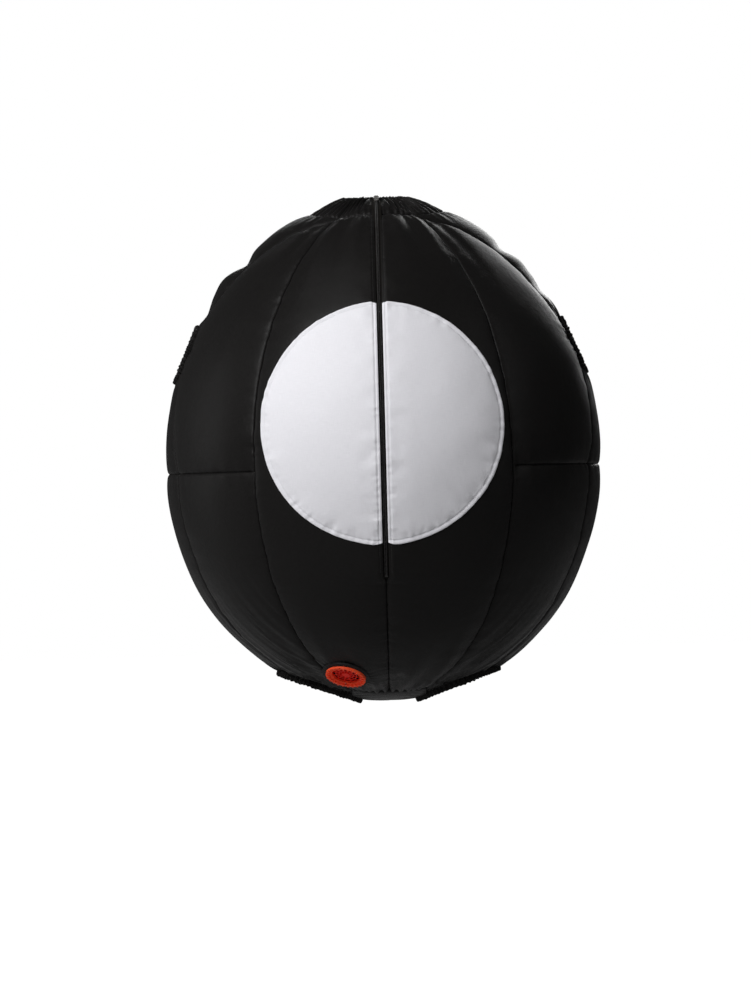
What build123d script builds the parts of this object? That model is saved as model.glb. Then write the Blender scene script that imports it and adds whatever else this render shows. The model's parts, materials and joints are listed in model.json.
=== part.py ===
from build123d import *
import math
import os

# Inflatable pool-ball costume, inflated, without its wearer.  Millimetres, +Z up.  The origin is the
# centre of the neck opening, the zip runs down the back on +Y, and the wearer's left is +X.

os.makedirs("parts", exist_ok=True)

# ---- driving dimensions -------------------------------------------------------------------------

# Ball outline: one arc from the neck down past the belly, then a bowl tangent to it
NECK_R = 63.0
BELLY_R = 470.0
ARC_R = 600.0
BLEND_DEG = 25.7
WALL = 3.0

# Panels
GORE_DEG = 36.0
COLLAR_R = 145.0
EQUATOR_SEAM_DROP = 20.0
SHOULDER_SEAM_AT_COLLAR = 120.0
SHOULDER_SEAM_AT_ARM = 50.0
GUSSET_HALF_X = 80.0
GUSSET_HALF_Y = 120.0
DISC_R = 257.0
DISC_TILT_DEG = 10.5
DISC_BLANK_TOP_DEG = 54.0
DISC_BLANK_BOTTOM_DEG = -23.5
DISC_BLANK_HALF_DEG = 45.0
APPLIQUE = 1.0
NUMERAL_LINE = 30.0
NUMERAL_UPPER_R = 48.0
NUMERAL_LOWER_R = 60.0

# Elastic cuffs
CUFF_WALL = 7.0
ELASTIC = 3.0
NECK_BAND_H = 14.0
ARM_R = 60.0
ARM_EL_DEG = 23.5
ARM_CUFF_IN = 16.0
ARM_CUFF_OUT = 4.0
LEG_R = 90.0
LEG_POLAR_DEG = 19.5
LEG_CUFF_IN = 22.0
LEG_CUFF_OUT = 0.0
CUFF_LIP = 6.0

# Zip
ZIP_END_DEG = -24.5
TAPE_HALF = 10.0
TAPE_T = 1.2
ZIP_SPLIT = 0.6
COIL_HALF = 3.4
COIL_T = 2.2
TAPE_TAIL = 12.0
ZIP_TOP_SETBACK = 2.0
ZIP_SLOT_OVERRUN_DEG = 2.0
STOP_LENGTH = 3.0
SLIDER_LENGTH = 16.0
SLIDER_SIDE = 1.75
SLIDER_PLATE = 1.5
SLIDER_GAP = 0.35
SLIDER_POST_LENGTH = 4.0
ZIP_END_GAP = 0.5
BRIDGE_INNER = 2.3
BRIDGE_T = 1.1
BRIDGE_H = 3.2
BRIDGE_LENGTH = 3.0
PIN_R = 0.7
PIN_CLEAR = 0.08
PULL_LENGTH = 30.0
PULL_HALF = 4.5
PULL_T = 1.4
PULL_NECK = 3.6

# Fan
FAN_POLAR_DEG = 29.5
FAN_AZIMUTH_DEG = 66.0
DUCT_R = 34.0
DUCT_WALL = 2.5
DUCT_DEPTH = 34.0
BEZEL_FLANGE = 7.0
BEZEL_FUNNEL = 3.0
PATCH_MARGIN = 8.5
PATCH_T = 1.2
BEZEL_H = 7.0
BEZEL_RIBS = 24
BEZEL_RIB_W = 2.4
BEZEL_RIB_H = 1.4
BEZEL_RIB_INSET = 4.0
BEZEL_RIB_BASE = 1.0
GRILLE_T = 1.6
GRILLE_SPOKES = 12
GRILLE_BAR = 1.6
GRILLE_RINGS = (0.48, 0.71)
HUB_CAP_R = 9.0
HUB_CAP_RISE = 1.0
LOCK_FLANGE = 9.5
LOCK_RING_T = 5.0
LOCK_NOTCHES = 10
LOCK_NOTCH_W = 8.0
LOCK_NOTCH_DEPTH = 3.0
LOCK_NOTCH_LIP = 1.0
THREAD_CLEAR = 0.1
MOTOR_R = 10.0
MOTOR_LENGTH = 18.0
MOTOR_TOP = -12.0
SHAFT_R = 1.0
SHAFT_CLEAR = 0.05
SHAFT_IN_MOTOR = 6.0
IMPELLER_HUB_R = 12.0
IMPELLER_HUB_H = 8.0
IMPELLER_TOP = -3.0
IMPELLER_TIP_GAP = 1.0
BLADES = 7
BLADE_T = 1.4
BLADE_PITCH_DEG = 38.0
BLADE_CHORD = 11.0
MOUNT_T = 2.5
MOUNT_ARMS = 3
MOUNT_ARM_W = 5.0
GUARD_T = 2.0
FAN_SCREW_R = 1.2
FAN_SCREW_HEAD_R = 2.2
FAN_SCREW_HEAD_H = 1.3
FAN_SCREW_LENGTH = 7.0
FAN_SCREW_CLEAR = 0.3
FAN_SCREWS = 3
GLAND_R = 3.5
GLAND_BORE_R = 1.6
GLAND_FLANGE_R = 5.0
GLAND_FLANGE_T = 1.2
FAN_GLAND_W = -22.0

# Battery pack in its inner pocket, four AA cells side by side
CELL_R = 7.25
CELL_LENGTH = 50.5
CELL_NUB_R = 2.7
CELL_NUB_H = 1.2
CELLS = 4
CELL_GAP = 0.4
BOX_WALL = 2.0
BOX_SIDE = 2.5
GROOVE_DEPTH = 1.3
COVER_T = 2.0
COVER_CLEAR = 0.1
COVER_LIP = 1.0
COVER_RIBS = 5
COVER_RIB_HALF = 12.0
COVER_RIB_H = 1.2
COVER_RIB_PITCH = 3.0
COVER_RIB_SET = 6.0
CONTACT_T = 0.5
CONTACT_HALF = 4.0
SPRING_ROOM = 6.0
DIVIDER_T = 1.5
SWITCH_ROOM = 8.0
SWITCH_ROOM_WALL = 1.0
SWITCH_BODY = (6.0, 14.0)
KNOB_Y = 5.0
KNOB_X = 3.0
KNOB_H = 2.5
KNOB_SEAT = 1.0
SWITCH_TRAVEL = 4.0
SWITCH_Y = -14.0
BOX_GLAND_Y = 16.0
POCKET_T = 2.0
POCKET_CLEAR = 0.75
POCKET_SIDE = 5.0
POCKET_HEM = 16.0
POCKET_FLOOR_DROP = 148.0
POCKET_BACK = 1.5
POCKET_LINING_TOP_DEG = 10.0

# ---- values worked out from them ----------------------------------------------------------------

SLIDER_HALF = COIL_HALF + SLIDER_GAP + SLIDER_SIDE
DUCT_OUT_R = DUCT_R + DUCT_WALL
FAN_R = DUCT_OUT_R + BEZEL_FLANGE
BEZEL_THROAT_R = DUCT_R - BEZEL_FUNNEL
PATCH_R = FAN_R + PATCH_MARGIN
LOCK_RING_R = DUCT_OUT_R + LOCK_FLANGE
GRILLE_RING_RADII = [share * BEZEL_THROAT_R for share in GRILLE_RINGS]
ARC_SHIFT = ARC_R - BELLY_R
LEVEL = -math.sqrt(ARC_R**2 - (ARC_SHIFT + NECK_R)**2)
BOWL_R = ARC_R - ARC_SHIFT / math.cos(math.radians(BLEND_DEG))
BOWL_Z = LEVEL - ARC_SHIFT * math.tan(math.radians(BLEND_DEG))
BLEND_POLAR = 90.0 - BLEND_DEG
POLE_POLAR = 2.5
BACK = 90.0
OVERRUN = 1.0
NEAR_AXIS = 1.0
ZIP_AXIS = Axis((0, -ARC_SHIFT, LEVEL), (1, 0, 0))


def zip_deg(length):
    """Angle about the zip's axis for a length along the zip."""
    return math.degrees(length / ARC_R)


def elevation_at(radius):
    """Elevation on the upper arc at a distance from the Z axis."""
    return math.degrees(math.acos((radius + ARC_SHIFT) / ARC_R))


ZIP_TOP_DEG = elevation_at(NECK_R + ZIP_TOP_SETBACK)
SLIDER_TOP_DEG = ZIP_TOP_DEG - zip_deg(STOP_LENGTH + ZIP_END_GAP)
SLIDER_MID_DEG = SLIDER_TOP_DEG - zip_deg(SLIDER_LENGTH / 2)
BOTTOM_STOP_TOP_DEG = ZIP_END_DEG + zip_deg(STOP_LENGTH)
ZIP_TRAVEL_DEG = SLIDER_TOP_DEG - zip_deg(SLIDER_LENGTH + ZIP_END_GAP) - BOTTOM_STOP_TOP_DEG
COLLAR_EL = elevation_at(COLLAR_R)
SEAM_EL = -math.degrees(math.asin(EQUATOR_SEAM_DROP / ARC_R))


def save(part, name):
    export_step(part, f"parts/{name}.step")


# ---- outline helpers ----------------------------------------------------------------------------

def arc_point(elevation, offset=0.0):
    """Point of the upper arc in the XZ half plane, offset outwards."""
    angle = math.radians(elevation)
    radius = ARC_R + offset
    return Vector(radius * math.cos(angle) - ARC_SHIFT, 0, LEVEL + radius * math.sin(angle))


def bowl_point(polar, offset=0.0):
    """Point of the bottom bowl in the XZ half plane; polar is measured from straight down."""
    angle = math.radians(polar)
    radius = BOWL_R + offset
    return Vector(radius * math.sin(angle), 0, BOWL_Z - radius * math.cos(angle))


def curve(point_at, start, end, offset):
    """Arc of one of the two outlines between two of its angles."""
    middle = (start + end) / 2
    return ThreePointArc(point_at(start, offset), point_at(middle, offset), point_at(end, offset))


def arc_band(top, bottom, inner, outer):
    """Section between two offsets of the upper arc."""
    edges = [
        curve(arc_point, top, bottom, outer),
        Line(arc_point(bottom, outer), arc_point(bottom, inner)),
        curve(arc_point, bottom, top, inner),
        Line(arc_point(top, inner), arc_point(top, outer)),
    ]
    return Face(Wire(edges))


def long_band(top, bottom_polar, inner, outer):
    """Section that runs down the upper arc and on round the bowl."""
    edges = [
        curve(arc_point, top, -BLEND_DEG, outer),
        curve(bowl_point, BLEND_POLAR, bottom_polar, outer),
        Line(bowl_point(bottom_polar, outer), bowl_point(bottom_polar, inner)),
        curve(bowl_point, bottom_polar, BLEND_POLAR, inner),
        curve(arc_point, -BLEND_DEG, top, inner),
        Line(arc_point(top, inner), arc_point(top, outer)),
    ]
    return Face(Wire(edges))


def turned(section, start_deg, span_deg):
    """Section swept about Z from one azimuth; azimuth 0 is +X and 90 is the back, +Y."""
    return Rot(0, 0, start_deg) * revolve(section, axis=Axis.Z, revolution_arc=span_deg)


def tube(inner_r, outer_r, low, high):
    """Straight ring about local Z."""
    blank = Cylinder(outer_r, high - low) - Cylinder(inner_r, high - low)
    return Pos(0, 0, (low + high) / 2) * blank


def rod(radius, low, high):
    """Round bar about local Z."""
    return Pos(0, 0, (low + high) / 2) * Cylinder(radius, high - low)


def block(x0, x1, y0, y1, z0, z1):
    """Box between two corners."""
    middle = Pos((x0 + x1) / 2, (y0 + y1) / 2, (z0 + z1) / 2)
    return middle * Box(x1 - x0, y1 - y0, z1 - z0)


def along_zip(x0, x1, r0, r1, low_deg, high_deg):
    """Strip that follows the zip, between two radii about the zip's axis."""
    corners = [(x0, r0), (x1, r0), (x1, r1), (x0, r1)]
    section = Face(Wire.make_polygon([(x, r - ARC_SHIFT, LEVEL) for x, r in corners]))
    strip = revolve(section, axis=ZIP_AXIS, revolution_arc=high_deg - low_deg)
    return strip.rotate(ZIP_AXIS, low_deg)


def mirrored(part):
    """The same piece for the wearer's other side."""
    return mirror(part, about=Plane.YZ)


# ---- places on the ball -------------------------------------------------------------------------

def on_arc(elevation):
    """Frame on the wearer's left side of the ball, its Z pointing straight out of the fabric."""
    angle = math.radians(elevation)
    normal = Vector(math.cos(angle), 0, math.sin(angle))
    return Plane(origin=arc_point(elevation), x_dir=(0, 1, 0), z_dir=normal)


def on_bowl(polar, azimuth):
    """Frame on the bottom bowl, its Z pointing straight out of the fabric."""
    tilt, turn = math.radians(polar), math.radians(azimuth)
    normal = Vector(math.sin(tilt) * math.cos(turn), math.sin(tilt) * math.sin(turn), -math.cos(tilt))
    origin = Vector(0, 0, BOWL_Z) + normal * BOWL_R
    return Plane(origin=origin, x_dir=(-math.sin(turn), math.cos(turn), 0), z_dir=normal)


ARM_PLACE = on_arc(ARM_EL_DEG).location
LEG_PLACE = on_bowl(LEG_POLAR_DEG, 0.0).location
FAN_PLACE = on_bowl(FAN_POLAR_DEG, FAN_AZIMUTH_DEG).location
CUTTER_REACH = 60.0

arm_hole = ARM_PLACE * rod(ARM_R + CUFF_WALL, -CUTTER_REACH, CUTTER_REACH)
leg_hole = LEG_PLACE * rod(LEG_R + CUFF_WALL, -CUTTER_REACH, CUTTER_REACH)
fan_hole = FAN_PLACE * rod(DUCT_OUT_R, -CUTTER_REACH, CUTTER_REACH)
both_legs = leg_hole + mirrored(leg_hole)
zip_slot = along_zip(-TAPE_HALF, TAPE_HALF, ARC_R - CUTTER_REACH, ARC_R + CUTTER_REACH,
                     ZIP_END_DEG - zip_deg(TAPE_TAIL), ZIP_TOP_DEG + ZIP_SLOT_OVERRUN_DEG)
gusset_block = block(-GUSSET_HALF_X, GUSSET_HALF_X, -GUSSET_HALF_Y, GUSSET_HALF_Y,
                     BOWL_Z - BOWL_R - CUTTER_REACH, BOWL_Z - BOWL_R / 2)


# ---- fabric panels ------------------------------------------------------------------------------

def full_gore(start, span):
    """Panel that runs from the collar to the crotch gusset with no cross seam."""
    return turned(long_band(COLLAR_EL, POLE_POLAR, -WALL, 0.0), start, span) - gusset_block


def upper_gore(start, span):
    return turned(arc_band(COLLAR_EL, SEAM_EL, -WALL, 0.0), start, span)


def side_wedges():
    """Outlines of the shoulder panel, from collar to arm hole, and of the side panel under the arm."""
    arm = arc_point(ARM_EL_DEG)
    seam = arc_point(SEAM_EL)
    half_at_seam = seam.X * math.sin(math.radians(GORE_DEG / 2))
    slope = (SHOULDER_SEAM_AT_COLLAR - SHOULDER_SEAM_AT_ARM) / (arm.X - SHOULDER_SEAM_AT_COLLAR)
    half_at_axis = SHOULDER_SEAM_AT_COLLAR * (1 + slope)
    half_at_reach = half_at_axis - slope * BELLY_R
    plan = [(0, -half_at_axis), (BELLY_R, -half_at_reach), (BELLY_R, half_at_reach), (0, half_at_axis)]
    shoulder = extrude(Face(Wire.make_polygon([(x, y, 2 * LEVEL) for x, y in plan])), amount=-2 * LEVEL,
                       dir=(0, 0, 1))
    view = [(-half_at_seam, seam.Z), (half_at_seam, seam.Z), (SHOULDER_SEAM_AT_ARM / 2, arm.Z + ARM_R),
            (-SHOULDER_SEAM_AT_ARM / 2, arm.Z + ARM_R)]
    outline = Wire.make_polygon([(NEAR_AXIS, y, z) for y, z in view])
    under_arm = extrude(Face(outline), amount=BELLY_R, dir=(1, 0, 0))
    above = ARM_PLACE * block(-BELLY_R, BELLY_R, 0, 2 * ARC_R, -BELLY_R, BELLY_R)
    return shoulder & above, under_arm - above


def lower_gore(start, span):
    return turned(long_band(SEAM_EL, POLE_POLAR, -WALL, 0.0), start, span) - gusset_block - leg_hole


def make_panels():
    back_left = full_gore(BACK - GORE_DEG, GORE_DEG) - zip_slot
    save(back_left - fan_hole, "back_panel_left")
    save(mirrored(back_left), "back_panel_right")
    front_start = -BACK - GORE_DEG
    save(full_gore(front_start, 2 * GORE_DEG), "front_panel")
    lower_starts = {"rear_side": GORE_DEG / 2, "side": -GORE_DEG / 2, "front_side": -1.5 * GORE_DEG}
    for name, start in lower_starts.items():
        lower = lower_gore(start, GORE_DEG)
        save(lower, f"{name}_lower_left")
        save(mirrored(lower), f"{name}_lower_right")
    shoulder_wedge, under_arm_wedge = side_wedges()
    whole = upper_gore(-1.5 * GORE_DEG, 3 * GORE_DEG) - arm_hole
    rest = whole - shoulder_wedge - under_arm_wedge
    behind = block(-BELLY_R, 2 * BELLY_R, 0, 2 * BELLY_R, 2 * LEVEL, 0)
    uppers = {
        "shoulder_panel": whole & shoulder_wedge,
        "side_upper": whole & under_arm_wedge,
        "rear_side_upper": rest & behind,
        "front_side_upper": rest - behind,
    }
    for name, panel in uppers.items():
        save(panel, f"{name}_left")
        save(mirrored(panel), f"{name}_right")


def make_gusset():
    """Hourglass strip between the two leg openings."""
    corner = math.hypot(GUSSET_HALF_X, GUSSET_HALF_Y)
    cap_polar = math.degrees(math.asin(corner / BOWL_R)) + POLE_POLAR
    edges = [
        curve(bowl_point, cap_polar, 0.0, 0.0),
        Line(bowl_point(0.0, 0.0), bowl_point(0.0, -WALL)),
        curve(bowl_point, 0.0, cap_polar, -WALL),
        Line(bowl_point(cap_polar, -WALL), bowl_point(cap_polar, 0.0)),
    ]
    cap = revolve(Face(Wire(edges)), axis=Axis.Z)
    save((cap & gusset_block) - both_legs, "crotch_gusset")


def disc_blank(thickness_from, thickness_to, azimuth):
    """Layer over the outside of the ball, wide enough to cut a round patch from."""
    layer = arc_band(DISC_BLANK_TOP_DEG, DISC_BLANK_BOTTOM_DEG, thickness_from, thickness_to)
    return turned(layer, azimuth - DISC_BLANK_HALF_DEG, 2 * DISC_BLANK_HALF_DEG)


def disc_cutter(radius, azimuth):
    """Round bar along the disc's own normal, a little above the belly level."""
    tilt = math.radians(DISC_TILT_DEG)
    turn = math.radians(azimuth)
    normal = Vector(math.cos(tilt) * math.cos(turn), math.cos(tilt) * math.sin(turn), math.sin(tilt))
    centre = Vector(0, 0, LEVEL) + normal * BELLY_R
    frame = Plane(origin=centre, x_dir=(-math.sin(turn), math.cos(turn), 0), z_dir=normal)
    return frame, frame.location * rod(radius, -BELLY_R / 2, BELLY_R / 4)


def make_discs():
    frame, bar = disc_cutter(DISC_R, BACK)
    whole = (disc_blank(0.0, APPLIQUE, BACK) & bar) - zip_slot
    half = block(0, BELLY_R, 0, 2 * BELLY_R, 2 * LEVEL, 0)
    save(whole & half, "back_disc_left")
    save(whole - half, "back_disc_right")
    frame, bar = disc_cutter(DISC_R, -BACK)
    save(disc_blank(0.0, APPLIQUE, -BACK) & bar, "front_disc")
    rings = []
    for radius, side in ((NUMERAL_UPPER_R, 1), (NUMERAL_LOWER_R, -1)):
        rise = side * (radius + NUMERAL_LINE / 2)
        rings.append(Pos(0, rise, 0) * tube(radius, radius + NUMERAL_LINE, -BELLY_R / 2, BELLY_R / 4))
    figure_eight = frame.location * (rings[0] + rings[1])
    save(disc_blank(APPLIQUE, 2 * APPLIQUE, -BACK) & figure_eight, "front_numeral")


# ---- collar and elastic cuffs -------------------------------------------------------------------

def make_collar():
    """Gathered collar, and the neck band with its elastic, both open at the zip."""
    edge_r = NECK_R + CUFF_WALL
    collar = turned(arc_band(elevation_at(edge_r), COLLAR_EL, -WALL, 0.0), 0.0, 360.0)
    channel_low = NECK_R + (CUFF_WALL - ELASTIC) / 2
    band = tube(NECK_R, edge_r, -NECK_BAND_H, 0.0)
    elastic = tube(channel_low, channel_low + ELASTIC, -NECK_BAND_H, -CUFF_LIP / 2)
    save(collar - rod(edge_r, -CUTTER_REACH, CUTTER_REACH) - zip_slot, "collar")
    save(band - elastic - zip_slot, "neck_band")
    save(elastic - zip_slot, "neck_elastic")


def make_cuff(name, place, radius, depth, proud):
    """Casing round one opening with its elastic in a channel, for both sides."""
    channel_low = radius + (CUFF_WALL - ELASTIC) / 2
    casing = tube(radius, radius + CUFF_WALL, -depth, proud)
    elastic = tube(channel_low, channel_low + ELASTIC, -depth, proud - CUFF_LIP)
    for piece, part in ((f"{name}_cuff", casing - elastic), (f"{name}_elastic", elastic)):
        placed = place * part
        save(placed, f"{piece}_left")
        save(mirrored(placed), f"{piece}_right")


# ---- zip ----------------------------------------------------------------------------------------

def make_zip():
    tape_end = ZIP_END_DEG - zip_deg(TAPE_TAIL)
    tape = along_zip(ZIP_SPLIT, TAPE_HALF, ARC_R - TAPE_T, ARC_R, tape_end, ZIP_TOP_DEG)
    coil_top = ZIP_TOP_DEG - zip_deg(STOP_LENGTH)
    coil = along_zip(ZIP_SPLIT, COIL_HALF, ARC_R, ARC_R + COIL_T, BOTTOM_STOP_TOP_DEG, coil_top)
    stop = along_zip(ZIP_SPLIT, COIL_HALF, ARC_R, ARC_R + COIL_T, coil_top, ZIP_TOP_DEG)
    for name, part in (("zip_tape", tape), ("zip_teeth", coil)):
        save(part, f"{name}_left")
        save(mirrored(part), f"{name}_right")
    end_block = along_zip(-COIL_HALF, COIL_HALF, ARC_R, ARC_R + COIL_T, ZIP_END_DEG, BOTTOM_STOP_TOP_DEG)
    save(Compound(children=[stop, mirrored(stop), end_block]), "zip_stops")


def slider_frame():
    """Frame at the slider's middle, Z out of the ball and Y down along the zip."""
    angle = math.radians(SLIDER_MID_DEG)
    normal = Vector(0, math.cos(angle), math.sin(angle))
    origin = Vector(0, -ARC_SHIFT, LEVEL) + normal * ARC_R
    return Plane(origin=origin, x_dir=(1, 0, 0), z_dir=normal)


def make_slider():
    """Slider that wraps both rows of teeth, and the pull that swings on its bridge pin."""
    low, high = SLIDER_TOP_DEG - zip_deg(SLIDER_LENGTH), SLIDER_TOP_DEG
    roof = ARC_R + COIL_T + SLIDER_GAP
    crown = roof + SLIDER_PLATE
    floor = ARC_R - TAPE_T - SLIDER_GAP
    body = along_zip(-SLIDER_HALF, SLIDER_HALF, roof, crown, low, high)
    body += along_zip(-SLIDER_HALF, SLIDER_HALF, floor - SLIDER_PLATE, floor, low, high)
    for side in (-1, 1):
        near, far = sorted((side * (COIL_HALF + SLIDER_GAP), side * SLIDER_HALF))
        body += along_zip(near, far, ARC_R + SLIDER_GAP, roof, low, high)
    post_half = ZIP_SPLIT - SLIDER_GAP / 2
    post_low = high - zip_deg(SLIDER_POST_LENGTH)
    body += along_zip(-post_half, post_half, floor, roof, post_low, high)

    pin_height = crown - ARC_R + BRIDGE_H / 2 + PULL_T / 2
    bridge_top = pin_height + BRIDGE_H / 2
    seat = roof - ARC_R + SLIDER_PLATE / 2
    bridge = Part()
    for side in (-1, 1):
        near, far = sorted((side * BRIDGE_INNER, side * (BRIDGE_INNER + BRIDGE_T)))
        bridge += block(near, far, -BRIDGE_LENGTH / 2, BRIDGE_LENGTH / 2, seat, bridge_top)
    pin_half = BRIDGE_INNER + BRIDGE_T
    bridge += Pos(0, 0, pin_height) * Rot(0, 90, 0) * rod(PIN_R, -pin_half, pin_half)
    frame = slider_frame().location
    save(body + frame * bridge, "zip_slider")

    eye_r = PIN_R + PIN_CLEAR + PULL_T / 2
    eye_half = BRIDGE_INNER - SLIDER_GAP
    pull = Rot(0, 90, 0) * rod(eye_r, -eye_half, eye_half)
    pull += block(-eye_half, eye_half, 0, PULL_NECK + OVERRUN, -PULL_T / 2, PULL_T / 2)
    tab = block(-PULL_HALF, PULL_HALF, PULL_NECK, PULL_LENGTH, -PULL_T / 2, PULL_T / 2)
    pull += fillet(tab.edges().filter_by(Axis.Z), PULL_HALF / 2)
    grip_y = PULL_LENGTH - 2 * PULL_HALF
    pull -= Pos(0, grip_y, 0) * Cylinder(PULL_HALF / 2, 2 * PULL_T)
    pull -= Rot(0, 90, 0) * rod(PIN_R + PIN_CLEAR, -PULL_HALF, PULL_HALF)
    save(frame * Pos(0, 0, pin_height) * pull, "zip_pull")
    pin = slider_frame().from_local_coords(Vector(0, 0, pin_height))
    print("zip pull pin", [round(v, 3) for v in (pin.X, pin.Y, pin.Z)], "travel", round(ZIP_TRAVEL_DEG, 3))


# ---- fan ----------------------------------------------------------------------------------------

BOWL_CENTRE = Pos(0, 0, -BOWL_R)
patch_face = BOWL_CENTRE * Sphere(BOWL_R + PATCH_T)
fabric_face = BOWL_CENTRE * Sphere(BOWL_R)
lining_face = BOWL_CENTRE * Sphere(BOWL_R - WALL)


def spokes(count, inner_r, outer_r, width, low, high):
    """Bars that run outwards, evenly round local Z."""
    bars = Part()
    for index in range(count):
        bars += Rot(0, 0, index * 360 / count) * block(inner_r, outer_r, -width / 2, width / 2, low, high)
    return bars


def seat_point(radius):
    """Point of the patch's outer face at a distance from the fan's axis."""
    dip = BOWL_R - math.sqrt((BOWL_R + PATCH_T)**2 - radius**2)
    return Vector(radius, 0, -dip)


def make_fan_shell():
    patch = tube(DUCT_OUT_R, PATCH_R, -2 * BEZEL_H, BEZEL_H)
    save(FAN_PLACE * ((patch & patch_face) - fabric_face), "fan_patch")

    seat_edge = [seat_point(DUCT_OUT_R), seat_point((DUCT_OUT_R + FAN_R) / 2), seat_point(FAN_R)]
    funnel_r = (BEZEL_THROAT_R + FAN_R) / 2
    outline = [(FAN_R, BEZEL_H), (funnel_r, BEZEL_H), (BEZEL_THROAT_R, BEZEL_H / 2), (BEZEL_THROAT_R, 0)]
    corners = [Vector(r, 0, w) for r, w in outline + [(DUCT_OUT_R, 0)]]
    edges = [ThreePointArc(*seat_edge)]
    for start, end in zip([seat_edge[2]] + corners, corners + [seat_edge[0]]):
        edges.append(Line(start, end))
    bezel = revolve(Face(Wire(edges)), axis=Axis.Z)
    ribs = spokes(BEZEL_RIBS, BEZEL_THROAT_R + BEZEL_RIB_INSET, FAN_R + OVERRUN, BEZEL_RIB_W, BEZEL_RIB_BASE,
                  BEZEL_H + BEZEL_RIB_H)
    bezel += ribs & tube(BEZEL_THROAT_R, FAN_R, 0.0, 2 * BEZEL_H)
    screw_ring_r = (DUCT_R + BEZEL_THROAT_R) / 2 + DUCT_WALL
    screws = []
    for index in range(FAN_SCREWS):
        turn = Rot(0, 0, index * 360 / FAN_SCREWS + 180 / BEZEL_RIBS)
        head = rod(FAN_SCREW_HEAD_R, BEZEL_H / 2, BEZEL_H / 2 + FAN_SCREW_HEAD_H)
        shank = rod(FAN_SCREW_R, BEZEL_H / 2 - FAN_SCREW_LENGTH, BEZEL_H / 2)
        screws.append(turn * Pos(screw_ring_r, 0, 0) * (head + shank))
    pocket = Part()
    for index in range(FAN_SCREWS):
        turn = Rot(0, 0, index * 360 / FAN_SCREWS + 180 / BEZEL_RIBS)
        head_room = rod(FAN_SCREW_HEAD_R + FAN_SCREW_CLEAR, BEZEL_H / 2, 2 * BEZEL_H)
        pocket += turn * Pos(screw_ring_r, 0, 0) * head_room
        pocket += turn * Pos(screw_ring_r, 0, 0) * rod(FAN_SCREW_R, -BEZEL_H, BEZEL_H)
    save(FAN_PLACE * (bezel - pocket), "fan_bezel")
    save(FAN_PLACE * Compound(children=screws), "fan_screws")

    housing = tube(DUCT_R, DUCT_OUT_R, -DUCT_DEPTH, 0.0)
    housing += tube(BEZEL_THROAT_R, DUCT_OUT_R, -GRILLE_T, 0.0)
    for screw in screws:
        housing -= screw
    gland_hole = Pos(0, 0, FAN_GLAND_W) * Rot(0, 90, 0) * rod(GLAND_R, 0.0, 2 * DUCT_R)
    save(FAN_PLACE * (housing - gland_hole), "fan_housing")

    grille = tube(BEZEL_THROAT_R - GRILLE_BAR, BEZEL_THROAT_R, -GRILLE_T, 0.0)
    for radius in GRILLE_RING_RADII:
        grille += tube(radius, radius + GRILLE_BAR, -GRILLE_T, 0.0)
    spoke_end = BEZEL_THROAT_R - GRILLE_BAR / 2
    grille += spokes(GRILLE_SPOKES, HUB_CAP_R / 2, spoke_end, GRILLE_BAR, -GRILLE_T, 0.0)
    grille += rod(HUB_CAP_R, -GRILLE_T, HUB_CAP_RISE)
    save(FAN_PLACE * grille, "fan_grille")

    lock_low = -WALL - LOCK_RING_T - LOCK_RING_R**2 / (2 * BOWL_R)
    lock = tube(DUCT_OUT_R + THREAD_CLEAR, LOCK_RING_R, lock_low, 0.0) & lining_face
    for index in range(LOCK_NOTCHES):
        notch = block(LOCK_RING_R - LOCK_NOTCH_DEPTH, LOCK_RING_R + OVERRUN, -LOCK_NOTCH_W / 2,
                      LOCK_NOTCH_W / 2, lock_low - OVERRUN, lock_low + LOCK_RING_T - LOCK_NOTCH_LIP)
        lock -= Rot(0, 0, index * 360 / LOCK_NOTCHES) * notch
    save(FAN_PLACE * lock, "fan_lock_ring")


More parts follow.
